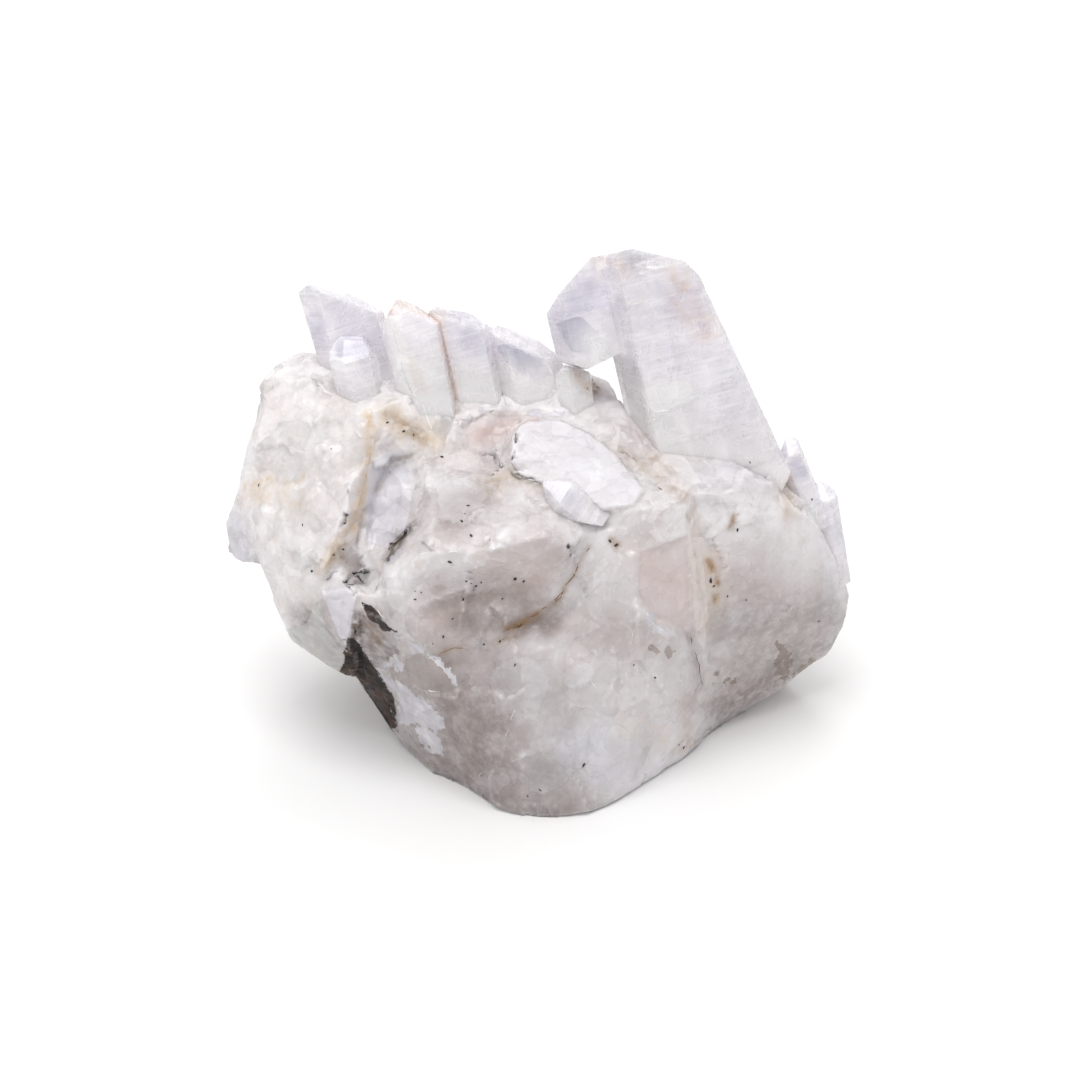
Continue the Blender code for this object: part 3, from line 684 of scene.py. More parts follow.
def faceted(places, normals, count, strength):
    """Presses each of many random patches of the skin towards its own plane."""
    bent = np.array([noise.noise_vector(Vector(p) / BEND_SIZE) for p in places])
    keys = np.hstack((places / MM + bent * BEND, normals * FACING_WEIGHT))
    seeds = keys[random.choice(len(places), count, replace=False)]
    nearest = np.concatenate([
        ((seeds**2).sum(1) - 2 * part @ seeds.T).argmin(1) for part in np.array_split(keys, 60)
    ])
    members = np.bincount(nearest, minlength=count)[:, None]
    middle = np.zeros((count, 3))
    facing = np.zeros((count, 3))
    np.add.at(middle, nearest, places)
    np.add.at(facing, nearest, normals)
    middle /= members
    facing /= np.linalg.norm(facing, axis=1)[:, None]
    off = ((places - middle[nearest]) * facing[nearest]).sum(axis=1)
    return places - facing[nearest] * (off * strength)[:, None], random.random(count)[nearest]


FLANK = [(-30, -10), (-24, -10), (-16, -20), (-13, -26), (-14, -34), (-22, -33), (-31, -20)]
CALM = [(-26, -6), (-20, 0), (-15, 12), (-6, 9), (6, 3), (24, 7), (42, 6), (50, 0), (50, -14), (44, -21),
        (8, -46), (-8, -43), (-15, -32), (-13, -23), (-22, -14)]
places = read_places(stone)
view = as_viewed(places)
facing = smooth_step(read_normals(stone) @ TOWARD_VIEWER, 0, 0.2)
calm = (smooth_step(inside_depth(view, CALM), -1.5, 2.5) * facing)[:, None]
broad, broad_tone = faceted(places, read_normals(stone), *BROAD)
places += (broad - places) * (1 - 0.4 * calm)
write_places(stone, places)
rough_zone = np.array([noise.noise(Vector(p) / ROUGH_SIZE) for p in places])
rough_zone = smooth_step(rough_zone, -0.25, 0.25)[:, None] * (1 - 0.6 * calm)
facing = smooth_step(read_normals(stone) @ TOWARD_VIEWER, 0, 0.2)
flank = smooth_step(inside_depth(view, FLANK), -1, 1) * facing
rough_zone = np.maximum(rough_zone, 1.2 * flank[:, None])
small, small_tone = faceted(places, read_normals(stone), *SMALL)
places += (small - places) * rough_zone
grain = np.array([noise.fractal(Vector(p) / GRAIN_SIZE, 0.9, 2.1, 4) for p in places])
places += read_normals(stone) * (grain * GRAIN_DEPTH * MM)[:, None]
places[:, 2] = np.where(places[:, 2] < LOWEST, 0, places[:, 2])
write_places(stone, places)
print("facets pressed on", len(places), "corners")

# %% [markdown]
# The second skin and the facets blunt every edge. The edges that give the front its face, such as
# those of the white tablet, of the pink panel and of the block below it, are pushed once more,
# each over less than one face of the skin, so that they stay crisp. A few planes are pressed
# flat again first.

# %% Crisp edges
RAISED_AGAIN = {
    "white_tablet": 0.45, "pink_panel": -0.35, "block": 0.4, "right_face": -0.3, "upper_shell": 0.25,
    "front_shell": -0.2, "low_shell": -0.25, "smoky_facet": -0.3,
}
CRISP = {name: (RAISED[name][0], high) for name, high in RAISED_AGAIN.items()}
CRISP |= {
    "fin": (PRESSED["fin"][0], 0.35),
    "black_glass": ([(-30.8, -15.6), (-29.3, -15.8), (-27.4, -19), (-25.1, -22.3), (-23.2, -25.1),
                     (-22.8, -29.6), (-24, -31.4), (-28, -29), (-33, -24), (-31.4, -19)], -0.35),
    "pale_flakes": ([(-25.1, -22.1), (-22.8, -22.5), (-20, -24.4), (-17.2, -26.7), (-15.4, -29),
                     (-15.8, -30.8), (-19.1, -29.7), (-22.8, -29.2), (-23.2, -25.1)], 0.3),
    "low_curl": ([(-20, -30.1), (-18.2, -29.8), (-15.4, -32), (-15.6, -34.4), (-16.8, -34.4),
                  (-19.5, -32)], 0.25),
    "sill_chips": ([(-12.6, 18), (-9.4, 19.8), (-8, 20.2), (0, 19.6), (4, 19.2), (4.6, 21), (-8, 22),
                    (-14, 20)], 0.35),
    "slab_chip": ([(-41, 3), (-37, 5), (-34.6, 2), (-36, -2), (-39.6, -2.4)], -0.2),
    "ledge": ([(-24, -5.6), (-19, -2), (-13, -1.6), (-7, -2.4), (-2, 0.6), (2, 1.6), (3, -1),
               (-4, -4.6), (-10, -4.2), (-17, -3.4), (-21, -7.6)], 0.25),
}
FLATTENED = ("recess", "fin", "tablet", "cleavage", "pink_panel", "smoky_facet", "black_flank")
FLATTENED_BY = 0.75
FLATTENED_BLEND = (-0.2, 0.6)
facing_viewer = front_share(stone)
for name in FLATTENED:
    places = pressed(places, PRESSED[name][0], FLATTENED_BY, FLATTENED_BLEND, facing_viewer)
view = as_viewed(places)
push = np.zeros(len(places))
for outline, high in CRISP.values():
    push += high * smooth_step(inside_depth(view, outline), -0.15, 0.2)
places += np.outer(push * facing_viewer, TOWARD_VIEWER) * MM
write_places(stone, places)
print("crisp edges:", ", ".join(CRISP))

# %% [markdown]
# ## Where the stone is worn, where it is stained and where light and shade are painted
# Rims of quartz look white, because light scatters in their tiny breaks, and the hollows are made
# darker and browner. Comparing the skin with a smoothed copy of itself finds both. Stains on the
# front are drawn as lines again, and so are painted shade and painted light. Each of these becomes
# a number on every corner of the mesh, an attribute, which the material reads.


# %% Attributes
def set_attribute(obj, name, values):
    made = obj.data.attributes.get(name) or obj.data.attributes.new(name, "FLOAT", "POINT")
    made.data.foreach_set("value", np.clip(values, 0, 1).astype(np.float32))


places = read_places(stone)
normals = read_normals(stone)
pairs = edge_pairs(stone)
bulge = ((places - smoothed(places, pairs, 8)) * normals).sum(axis=1) / MM
broad = ((places - smoothed(places, pairs, 60)) * normals).sum(axis=1) / MM
set_attribute(stone, "worn", smooth_step(bulge, 0.05, 0.2))
set_attribute(stone, "tone", 0.55 * broad_tone + 0.45 * small_tone)
set_attribute(stone, "calm", calm[:, 0])
# Hollows, which the material makes darker and browner.
hollow = smooth_step(-bulge, 0.03, 0.16) * 0.6 + smooth_step(-broad, 0.2, 0.9) * 0.5
set_attribute(stone, "hollow", hollow)
print("bulge", np.round(np.percentile(bulge, (1, 25, 50, 75, 99)), 3), "mm")

# %% [markdown]
# Each stain is a list of lines with a width and a strength, or of filled outlines, whose width is
# nought, and so is each patch of painted shade or painted light. Rust is strongest in one crack
# under the middle lump, the lower left flank is smoky, and painted shade darkens the lower edges.

# %% Stains, painted shade and painted light of the stone
STAINS_AND_PAINTED_LIGHT = {
    "rust": [
        (GROOVES["rust_crack"][0][:4], 0.5, 0.4), (GROOVES["rust_crack"][0][3:7], 0.6, 0.6),
        ([(-0.6, -11.8), (-3, -13.5), (-5, -14.2)], 0.7, 0.9),
        ([(-4, -15.5), (-7, -16.5)], 0.7, 0.5),
        ([(-16, -18.2), (-14, -17.3), (-11.5, -17.2)], 0.5, 0.5),
        ([(-24, 19.6), (-21, 18.2), (-18.5, 15.8)], 1.2, 0.5),
        ([(27, -3.4), (27.6, -4.6)], 0.55, 1.0), ([(28.2, -6), (28.4, -7)], 0.5, 1.0),
        ([(28, -9), (27.8, -9.8)], 0.5, 0.9), ([(31.4, 4), (30.4, 2)], 0.6, 0.9),
        ([(11.4, 0), (12.4, -0.8)], 0.6, 0.9),
        ([(12.8, 14.2), (14.5, 13.3), (18, 11), (21, 8.5), (23, 7)], 1.3, 0.4),
        (GROOVES["second_slit"][0], 0.7, 0.5),
        ([(-33, -1.6), (-31, -3.6)], 1.3, 0.5), ([(-31, -19.5), (-31, -22)], 1.2, 0.7),
        ([(-27.6, -12.6), (-26, -16.4)], 1.1, 0.35), ([(7.5, 26.6), (9, 24)], 0.9, 0.7),
        ([(23, -26), (24, -33)], 1.2, 0.3),
    ],
    "ochre": [
        (GROOVES["slab_line"][0], 0.8, 0.5),
        ([(-45, 7.6), (-40, 6.6)], 2.6, 0.4),
        ([(-27.5, 20), (-27, 16), (-27.5, 12), (-28, 9), (-29, 5), (-30, 2), (-33, -1.5), (-35, -5)],
         1.1, 0.75),
        ([(-40, 20), (-41, 4), (-38, -8)], 6, 0.14), ([(-33, 24), (-30, 12)], 4, 0.14),
        ([(24.6, 4), (25, -4), (26.5, -14)], 1.2, 0.4), ([(27, -3), (28, -10)], 2.0, 0.35),
        ([(0.6, 9.6), (-4, 11), (-7, 9)], 1.8, 0.3),
        ([(40, 12), (39.6, 4)], 1.2, 0.4), ([(-24, 19.6), (-18, 16)], 2.8, 0.5),
        ([(22, -33), (14, -30)], 2.5, 0.3),
    ],
    # Smoky: the first outline is the dark smoky glass of the lower left flank; most of the lines below it
    # are painted shade along the lower edges and the bottom.
    "smoky_and_painted_shade": [
        ([(-29.6, -11), (-27.6, -11.4), (-24.6, -15.6), (-22, -18), (-24.4, -19.4), (-26.6, -21),
          (-29.6, -18.6), (-30.6, -15.8), (-30.4, -12)], 0, 0.62),
        ([(-20, 2.6), (-22, 0), (-24.4, -2.8)], 0.7, 0.7),
        ([(-19, -33), (-10, -41), (2, -44.4)], 3.0, 0.5),
        ([(-12, -9), (-4, -8.4)], 3.4, 0.15), ([(30, -27), (46, -18)], 3.4, 0.55),
        ([(40, -20), (47, -17)], 2.4, 0.5),
        ([(-37, -13), (-33, -19)], 2.6, 0.5), ([(32, -14), (46, -12)], 4.5, 0.35),
        ([(28.5, -31), (34, -27)], 2.4, 0.4),
        ([(24, -15.5), (26, -23.5)], 1.0, 0.35), ([(-20, -24), (-12, -33)], 6, 0.42),
        ([(-10, -28), (-8, -40)], 7, 0.4), ([(-14, -9), (0, -10)], 5, 0.1),
        ([(0, -38), (-4, -44)], 6, 0.3), ([(34, -20), (44, -16)], 6, 0.3),
    ],
    # Painted shade: the alcove under the lump, the recesses, the lower flanks and the lower edges are
    # darkened where shade falls on the real stone.
    "painted_shade": [
        ([(-15, -9), (-9, -8.8), (-2, -10)], 3.8, 0.75), ([(-15, -22), (-12, -30), (-8, -40)], 7, 0.9),
        ([(-12, -12.8), (1, -13.4)], 3.6, 1.0), ([(-25, -14), (-22, -22), (-20, -30)], 4, 0.55),
        ([(-15, 3), (-8, 8)], 5.5, 0.85), ([(18, 9), (36, 9)], 3, 0.2),
        ([(-7, -20), (-6, -30)], 6, 0.8),
        ([(4, -14), (20, -14)], 6, 0.4), ([(-7, 3), (-4, 4)], 3, 0.4),
        ([(26, -14), (34, -14)], 5, 0.45),
        ([(-6, -18), (0, -19), (3, -28)], 5, 0.5), ([(32, -22), (45, -14)], 6, 0.55),
        ([(30, -8), (44, -10)], 6, 0.3),
        ([(-12, 4), (-2, 6)], 6, 0.4), ([(0, -38), (6, -44)], 5, 0.7),
        ([(-20, -34), (-8, -42)], 5, 0.7), ([(2, 0), (6, -6)], 4, 0.3),
        ([(-36, -12), (-32, -20)], 3.5, 0.6), ([(-23, 5), (-23, 0)], 2.4, 0.4),
        ([(20, -16), (28, -28)], 5, 0.3),
        ([(-16, 14), (-8, 13)], 3, 0.2), ([(-12, -20), (-4, -22)], 4, 0.6),
        ([(-30, -20), (-24, -30)], 3, 0.6),
    ],
    "black": [
        ([(-21, 1.8), (-22.6, -0.6)], 0.4, 0.9), ([(-23.4, -1.6), (-24.4, -3.2)], 0.35, 0.8),
    ],
    # Near white: a few whiter zones of the stone, and painted light where faces that lie in shade are
    # lightened: the slab, the recess, the ledge and the stone under the points.
    "pale_and_painted_light": [
        ([(-3, 15), (4, 14), (10, 9)], 4.0, 0.25), ([(-26, -7.5), (-19, -4), (-13, -2.6)], 2.4, 0.8),
        ([(-6, 0.8), (-3.6, 2.4)], 0.9, 1.0), ([(3, 22.5), (-4, 23)], 2.4, 0.6),
        ([(21, 8), (30, 8)], 4, 0.5),
        ([(-35, 26), (-40, 20), (-44, 14)], 6, 0.6), ([(-46, 10), (-42, 0), (-36, -6)], 6, 0.55),
        ([(-32, 22), (-34, 8)], 4, 0.4), ([(-33, -8.6), (-31, -14)], 1.4, 0.6),
        ([(-18, -27), (-16, -31)], 1.2, 0.5),
        ([(-24, 13.4), (-23.4, 8)], 3, 0.7), ([(16.8, -11.4), (18.4, -13.6), (21, -14.8)], 0.6, 0.9),
        (RAISED["white_tablet"][0], 0, 0.3), ([(24, 4), (37, 4)], 4, 0.8),
        ([(47, 6), (49, -6), (48, -14)], 3.4, 0.95), ([(16, -38), (26, -30)], 3, 0.5),
        ([(-41, -5), (-37, -14)], 3.5, 0.7), ([(-32, 4), (-31, -5)], 2.6, 0.5),
        ([(6, 28), (12, 20)], 3, 0.7), ([(6, 12), (12, 9)], 2.5, 0.6),
        ([(-17, 1), (-14, 4)], 3, 0.8), ([(-31, 3), (-32, -5)], 3, 0.7),
        ([(-25, 14), (-23, 9)], 3, 1.0), ([(-8, 10), (-6, 13)], 2, 0.7),
        ([(-38, -10), (-39, -13.4)], 3, 0.9), ([(-40, -3), (-38, -8)], 3, 0.8),
        ([(8, 4), (10, 1)], 2, 0.5), ([(-40, -3), (-39, -14)], 4, 0.6),
        ([(-31, 4), (-31, -6)], 2.4, 0.6), ([(41.4, 4), (42, -6)], 4, 0.6),
        ([(-30, 19), (-22, 20.4)], 2.4, 0.6),
        ([(-42, 3), (-36, 12), (-36, 20)], 5, 0.4),
    ],
    "cool": [
        ([(-24.6, 12), (-24, 4)], 3.2, 0.9), ([(6, -34), (22, -35)], 6.5, 0.7),
        ([(-13, 6), (-6, 4)], 4.5, 0.5),
        ([(-49, 2), (-47, -3)], 2.6, 0.8), ([(-33, -9), (-31, -16)], 1.6, 0.9),
        ([(28, 10), (36, 12)], 4, 0.6), ([(46, 0), (47, -16)], 1.6, 0.6),
        ([(-5, -22), (4, -26)], 5, 0.35),
    ],
    "pink": [
        ([(-10, 17), (-1, 19)], 2.4, 0.8), ([(17, -3), (22, -9)], 4, 0.55),
        ([(30, -6), (42, -6)], 6, 0.45),
        ([(14, 21), (20, 16)], 3.4, 0.45), ([(8, 23), (16, 18)], 3, 0.4),
        ([(-1, -7), (-8, -10), (-14, -11)], 5, 0.65),
        ([(-31, -1), (-30, 4)], 2, 0.4), ([(38, 9), (40, 3)], 1.8, 0.6),
    ],
}
print("lines and outlines:", {name: len(drawings) for name, drawings in STAINS_AND_PAINTED_LIGHT.items()})


# %% Draw the stains, the painted shade and the painted light
def drawn(view, drawings):
    """How strongly drawn lines of some width, and filled outlines of no width, mark each place."""
    total = np.zeros(len(view))
    for line, wide, strength in drawings:
        if wide:
            share = np.exp(-((line_distance(view, line) / wide) ** 2))
        else:
            share = smooth_step(inside_depth(view, line), -0.3, 0.5)
        total = np.maximum(total, strength * share)
    return total


view = as_viewed(places)
front = smooth_step(normals @ TOWARD_VIEWER, -0.1, 0.25) * smooth_step(-view[:, 2], -30, -22)
for stain_or_light, drawings in STAINS_AND_PAINTED_LIGHT.items():
    set_attribute(stone, stain_or_light, drawn(view, drawings) * front)
print("stains, painted shade and light:", ", ".join(STAINS_AND_PAINTED_LIGHT))

# %% [markdown]
# Some patches have a clean edge: black glass, pale flakes, single flat facets. A stain's edge is
# as wide as a face of the skin, so it can't show that. For these patches the attribute holds the
# distance to the outline instead, and the material cuts it off sharply, anywhere between two
# corners.

# %% Patches with a clean edge
PATCHES = {
    "glass": [
        CRISP["black_glass"][0],
        [(-28.8, -9.8), (-27, -10.5), (-24.6, -13.2), (-22.8, -14.8), (-25, -14.5), (-27.4, -12.6)],
    ],
    "flake": [
        CRISP["pale_flakes"][0],
        CRISP["low_curl"][0], [(-24.4, -19.6), (-23, -18.4), (-21.8, -20.2), (-22.6, -21.4)],
        [(-23.4, -14.9), (-19.2, -17.1), (-15.4, -19.7), (-13.1, -23), (-13.8, -23.2), (-15.8, -20.4),
         (-19.2, -18), (-23.2, -15.9)],
        [(16.6, -11.2), (18, -11.8), (18.6, -13.6), (21, -14.8), (20.6, -15.6), (18, -14.8),
         (17, -12.8)],
        [(-12.6, 18.4), (-9.4, 20), (-9, 21), (-12.4, 19.6)],
        [(-2.6, 19.8), (3.6, 19.4), (4.2, 20.4), (-2, 20.8)],
        [(-22.2, -1.4), (-21.6, -2), (-23.6, -3.8), (-24.4, -3.6)],
        [(-25.2, -20), (-24, -19.8), (-24.4, -21), (-25.4, -21)],
    ],
    "facet": [
        CRISP["smoky_facet"][0],
    ],
    "pale_facet": [
        [(-41, -14.4), (-37.2, -13.4), (-36.2, -10.4), (-34.9, -9.6), (-34.4, -13.9), (-32.5, -16.7),
         (-30.6, -18.8), (-30.8, -21.4), (-34, -22), (-41, -18)],
    ],
    "brown": [
        [(38, -16.4), (39.4, -17.4), (40.6, -21.4), (38.8, -22.8), (37.6, -20)],
        [(28.6, -21.2), (31.4, -22), (30.4, -23.6)],
        [(17.9, -17), (21.2, -18), (20.6, -18.6), (18, -17.8)],
        [(41.4, -20.6), (44, -19.4), (43, -21.4)],
        [(-30.4, -13.4), (-29, -14), (-28.6, -16.6), (-30, -16)],
        [(-21.2, 2), (-22.6, -1), (-24.6, -3.2), (-23.8, -1), (-22, 1.8)],
    ],
    "tablet": [RAISED["white_tablet"][0]],
    # Painted sheen: faint lighter and cooler facets, tinted as if flat broken faces caught the light.
    "painted_sheen": [
        [(-8, -20), (-2, -18), (2, -22), (-1, -29), (-7, -28)],
        [(4, -20), (10, -17), (13, -22), (9, -28), (4, -26)],
        [(8, -31), (15, -28), (20, -33), (14, -39), (8, -37)],
        [(-3, -33), (4, -31), (6, -37), (1, -41), (-4, -39)],
        [(-12, -39.4), (-9.4, -37.6), (-6, -37.4), (-4.6, -38.6), (-7, -40.6), (-10, -41)],
        [(30, -1), (37, 1), (41, -3), (36, -7), (30, -6)],
        [(17, -17), (23, -18), (24, -23), (19, -24), (16, -21)],
        [(4, 2), (10, 3), (13, -3), (9, -6), (5, -3)],
        [(-43, 18), (-38, 22), (-34, 18), (-36, 10), (-42, 9)],
        [(-42, 3), (-37, 5), (-33, 1), (-36, -5), (-41, -4)],
        [(-17, 9), (-12, 11), (-8, 8), (-10, 3), (-16, 3)],
        [(27, 11), (35, 13), (40, 10), (36, 5), (28, 6)],
        [(-14, -4.6), (-8, -5.4), (-7, -8), (-13, -8.6), (-17, -7)],
    ],
    # A painted highlight: the pale strip along the upright ridge of the front.
    "painted_ridge_highlight": [
        [(23.8, 6), (24.8, 6), (26.2, -4), (27, -12), (26.2, -17.6), (25, -16), (24.4, -8), (23.9, 0)],
    ],
    "blade": [
        CRISP["fin"][0],
        [(-27.4, 12.4), (-24.4, 14), (-21, 12), (-20.8, 6), (-21.6, 1.6), (-24.6, -1.4), (-28, 0),
         (-27.8, 6)],
    ],
    "panel": [
        [(16, -2), (23.8, 1), (24.2, -14.8), (18.6, -13), (15.6, -9.4)],
    ],
}
PATCH_REACH = 2.0


def set_patches(obj, patches, view, front):
    for patch, outlines in patches.items():
        depth = np.max([inside_depth(view, outline) for outline in outlines], axis=0)
        set_attribute(obj, patch, np.minimum(0.5 + 0.5 * depth / PATCH_REACH, 0.1 + front))


set_patches(stone, PATCHES, view, front)
print("patches:", ", ".join(PATCHES))

# %% [markdown]
# ## Building a material
# A material is a small network of nodes. Writing one in code is easier with helpers: one adds a
# node and fills its sockets, one turns a colour as a painter names it into the linear numbers
# that the shader works with, one mixes two colours, and one lays many tinted layers over a
# colour, each as strong as its share.


# %% Node helpers
def add(tree, kind, inputs=None, **settings):
    """A new node. An input may be a number, a colour or another node's output."""
    made = tree.nodes.new(kind)
    for key, value in settings.items():
        setattr(made, key, value)
    for name, value in (inputs or {}).items():
        if isinstance(value, bpy.types.NodeSocket):
            tree.links.new(value, made.inputs[name])
        else:
            made.inputs[name].default_value = value
    return made


def linear(*colour):
    """A painter's red, green and blue as the shader's, with full cover added."""
    return tuple(((c + 0.055) / 1.055) ** 2.4 if c > 0.04 else c / 12.92 for c in colour) + (1,)


def mixed(tree, share, first, second):
    """The first colour turning into the second as share goes from 0 to 1."""
    return add(tree, "ShaderNodeMix", {0: share, 6: first, 7: second}, data_type="RGBA").outputs[2]


def layered(tree, colour, layers):
    """The colour under tinted layers, each given as its share and its tint."""
    for share, tint in layers:
        colour = mixed(tree, share, colour, linear(*tint))
    return colour


def noise_share(tree, place, scale, low, high, detail=4.0, rough=0.55, warp=0.0):
    """Noise turned into a share from 0 to 1, rising between low and high."""
    cloud = add(tree, "ShaderNodeTexNoise", {"Vector": place, "Scale": scale, "Detail": detail,
                                             "Roughness": rough, "Distortion": warp})
    return ramp(tree, cloud.outputs["Fac"], low, high)


def ramp(tree, value, low, high, start=0.0, end=1.0):
    span = {"Value": value, "From Min": low, "From Max": high, "To Min": start, "To Max": end}
    return add(tree, "ShaderNodeMapRange", span).outputs["Result"]


def maths(tree, operation, first, second=0.0):
    return add(tree, "ShaderNodeMath", {0: first, 1: second}, operation=operation).outputs[0]


def attribute(tree, name):
    return add(tree, "ShaderNodeAttribute", attribute_name=name).outputs["Fac"]


def new_material(name):
    """An empty material, its tree, its shader and the place on the object."""
    made = bpy.data.materials.new(name)
    made.use_nodes = True
    tree = made.node_tree
    return made, tree, tree.nodes["Principled BSDF"], add(tree, "ShaderNodeTexCoord").outputs["Object"]


# %% [markdown]
# ## Milky quartz
# Milky quartz is clear quartz full of tiny bubbles. Light enters it and comes out again nearby,
# so its shadows are soft and its colour drifts slowly between cool lilac white, cream and a
# dusty pink. Subsurface scattering gives the softness, noise of several sizes the drift, and the
# attributes say where the stains, the painted shade and the painted light are. Each of them is
# broken up by noise, so that none has a clean outline.

# %% Grains
def grains(tree, place, scale, warp):
    """Irregular grains: a random share for each, and the height of a randomly tilted flat on each."""

    def vector(operation, first, second):
        return add(tree, "ShaderNodeVectorMath", {0: first, 1: second}, operation=operation)

    half = (0.5, 0.5, 0.5)
    cloud = add(tree, "ShaderNodeTexNoise", {"Vector": place, "Scale": scale * 0.9, "Detail": 1})
    bend = vector("SUBTRACT", cloud.outputs["Color"], half).outputs[0]
    bend = vector("MULTIPLY", bend, (warp / scale,) * 3).outputs[0]
    bent = vector("ADD", place, bend).outputs[0]
    cells = add(tree, "ShaderNodeTexVoronoi", {"Vector": bent, "Scale": scale})
    share = add(tree, "ShaderNodeSeparateColor", {"Color": cells.outputs["Color"]}).outputs["Red"]
    off = vector("SUBTRACT", bent, cells.outputs["Position"]).outputs[0]
    lean = vector("SUBTRACT", cells.outputs["Color"], half).outputs[0]
    return share, vector("DOT_PRODUCT", off, lean).outputs["Value"]


# %% The milky material
milky, tree, shader, place = new_material("milky_quartz")
drift = noise_share(tree, place, 45, 0.35, 0.68, detail=2, warp=0.6)
blush = noise_share(tree, place, 90, 0.42, 0.7, detail=3, warp=0.8)
moss = noise_share(tree, place, 170, 0.48, 0.7, detail=4, warp=0.7)
sugar = noise_share(tree, place, 900, 0.54, 0.7, detail=3)
broken = noise_share(tree, place, 220, 0.28, 0.6, detail=4, rough=0.65)
ragged = noise_share(tree, place, 650, 0.28, 0.6, detail=3, rough=0.65)
large_grain, large_tilt = grains(tree, place, 130, 1.6)
small_grain, small_tilt = grains(tree, place, 420, 1.4)
calm = attribute(tree, "calm")
colour = mixed(tree, drift, linear(0.865, 0.847, 0.853), linear(0.865, 0.842, 0.832))
tone = attribute(tree, "tone")
colour = layered(tree, colour, [
    (maths(tree, "MULTIPLY", blush, 0.6), (0.82, 0.765, 0.755)),
    (maths(tree, "MULTIPLY", moss, 0.5), (0.80, 0.80, 0.785)),
    (ramp(tree, tone, 0.5, 0.9, 0, 0.5), (0.91, 0.905, 0.92)),
    (ramp(tree, tone, 0.5, 0.1, 0, 0.4), (0.77, 0.742, 0.748)),
    (ramp(tree, large_grain, 0.55, 1, 0, 0.28), (0.92, 0.915, 0.92)),
    (ramp(tree, large_grain, 0.45, 0, 0, 0.22), (0.77, 0.735, 0.74)),
    (ramp(tree, small_grain, 0.3, 1, 0, 0.24), (0.93, 0.925, 0.935)),
    (ramp(tree, small_grain, 0.25, 0, 0, 0.16), (0.76, 0.74, 0.745)),
    (maths(tree, "MULTIPLY", sugar, 0.5), (0.95, 0.945, 0.955)),
])
TINT_BOOST = 1.35
# Among these tints, the greyish brown one is painted shade, the smoky one is the smoky glass of the lower
# left flank and painted shade along the lower edges, and the near-white one is partly pale stone and
# partly painted light on faces that lie in shade.
TINTS = [
    ("pink", (0.78, 0.69, 0.67), 0.75, broken),
    ("cool", (0.78, 0.78, 0.83), 0.75, broken),
    ("pale_and_painted_light", (0.955, 0.948, 0.958), 0.9, broken),
    ("painted_shade", (0.61, 0.563, 0.55), 0.8, ramp(tree, broken, 0, 1, 0.5, 1)),
    ("ochre", (0.84, 0.73, 0.56), 0.7, ragged),
    ("smoky_and_painted_shade", (0.42, 0.37, 0.36), 0.85, ragged),
    ("rust", (0.60, 0.47, 0.33), 0.8, ragged),
    ("black", (0.07, 0.045, 0.035), 0.98, ramp(tree, small_grain, 0.1, 0.3)),
]
for name, tint, most, patchy in TINTS:
    share = maths(tree, "MULTIPLY", attribute(tree, name), patchy)
    share = maths(tree, "MULTIPLY", share, most * TINT_BOOST)
    colour = mixed(tree, maths(tree, "MINIMUM", share, 1.0), colour, linear(*tint))
print("milky quartz under the patches:", len(tree.nodes), "nodes")

# %% [markdown]
# A patch's look is its name, how ragged noise makes its edge, how much it covers, how high it
# lies in millimetres, and two colours that noise mixes.


# %% Looks of the patches
def uneven_noise(tree, place):
    inputs = {"Vector": place, "Scale": 500, "Detail": 4, "Roughness": 0.65}
    return add(tree, "ShaderNodeTexNoise", inputs).outputs["Fac"]


def clean_edge(tree, uneven, name, ragged):
    """1 inside a patch and 0 outside, with an edge that noise makes ragged."""
    bend = ramp(tree, uneven, 0, 1, -ragged, ragged)
    return ramp(tree, maths(tree, "ADD", attribute(tree, name), bend), 0.49, 0.52)


uneven = uneven_noise(tree, place)
PATCH_LOOKS = [
    # The first look is painted sheen on flat broken faces.
    ("painted_sheen", 0.6, 0.2, 0.05, (0.83, 0.825, 0.84), (0.89, 0.885, 0.895)),
    ("tablet", 0.04, 0.55, 0.1, (0.835, 0.83, 0.855), (0.885, 0.878, 0.90)),
    ("brown", 0.8, 0.55, -0.05, (0.42, 0.33, 0.24), (0.62, 0.54, 0.46)),
    ("panel", 0.12, 0.4, -0.03, (0.83, 0.765, 0.755), (0.86, 0.81, 0.80)),
    # This look is a painted highlight along the upright ridge.
    ("painted_ridge_highlight", 0.12, 0.6, 0.06, (0.88, 0.845, 0.84), (0.85, 0.815, 0.80)),
    ("pale_facet", 0.1, 0.7, -0.06, (0.76, 0.76, 0.75), (0.83, 0.83, 0.825)),
    ("blade", 0.05, 0.45, 0.05, (0.84, 0.83, 0.875), (0.90, 0.885, 0.91)),
    ("facet", 0.1, 0.75, -0.06, (0.66, 0.625, 0.61), (0.74, 0.70, 0.69)),
    ("glass", 0.2, 0.95, -0.08, (0.055, 0.03, 0.015), (0.30, 0.22, 0.17)),
    ("flake", 0.45, 0.8, 0.08, (0.80, 0.79, 0.82), (0.91, 0.905, 0.925)),
]
streaks = ramp(tree, uneven, 0.46, 0.62)
edges = 0.0
shares = {}
for name, ragged, most, high, first, second in PATCH_LOOKS:
    share = clean_edge(tree, uneven, name, ragged)
    shares[name] = share
    tint = mixed(tree, streaks if name == "glass" else moss, linear(*first), linear(*second))
    colour = mixed(tree, maths(tree, "MULTIPLY", share, most), colour, tint)
    edges = maths(tree, "ADD", maths(tree, "MULTIPLY", share, high * MM), edges)
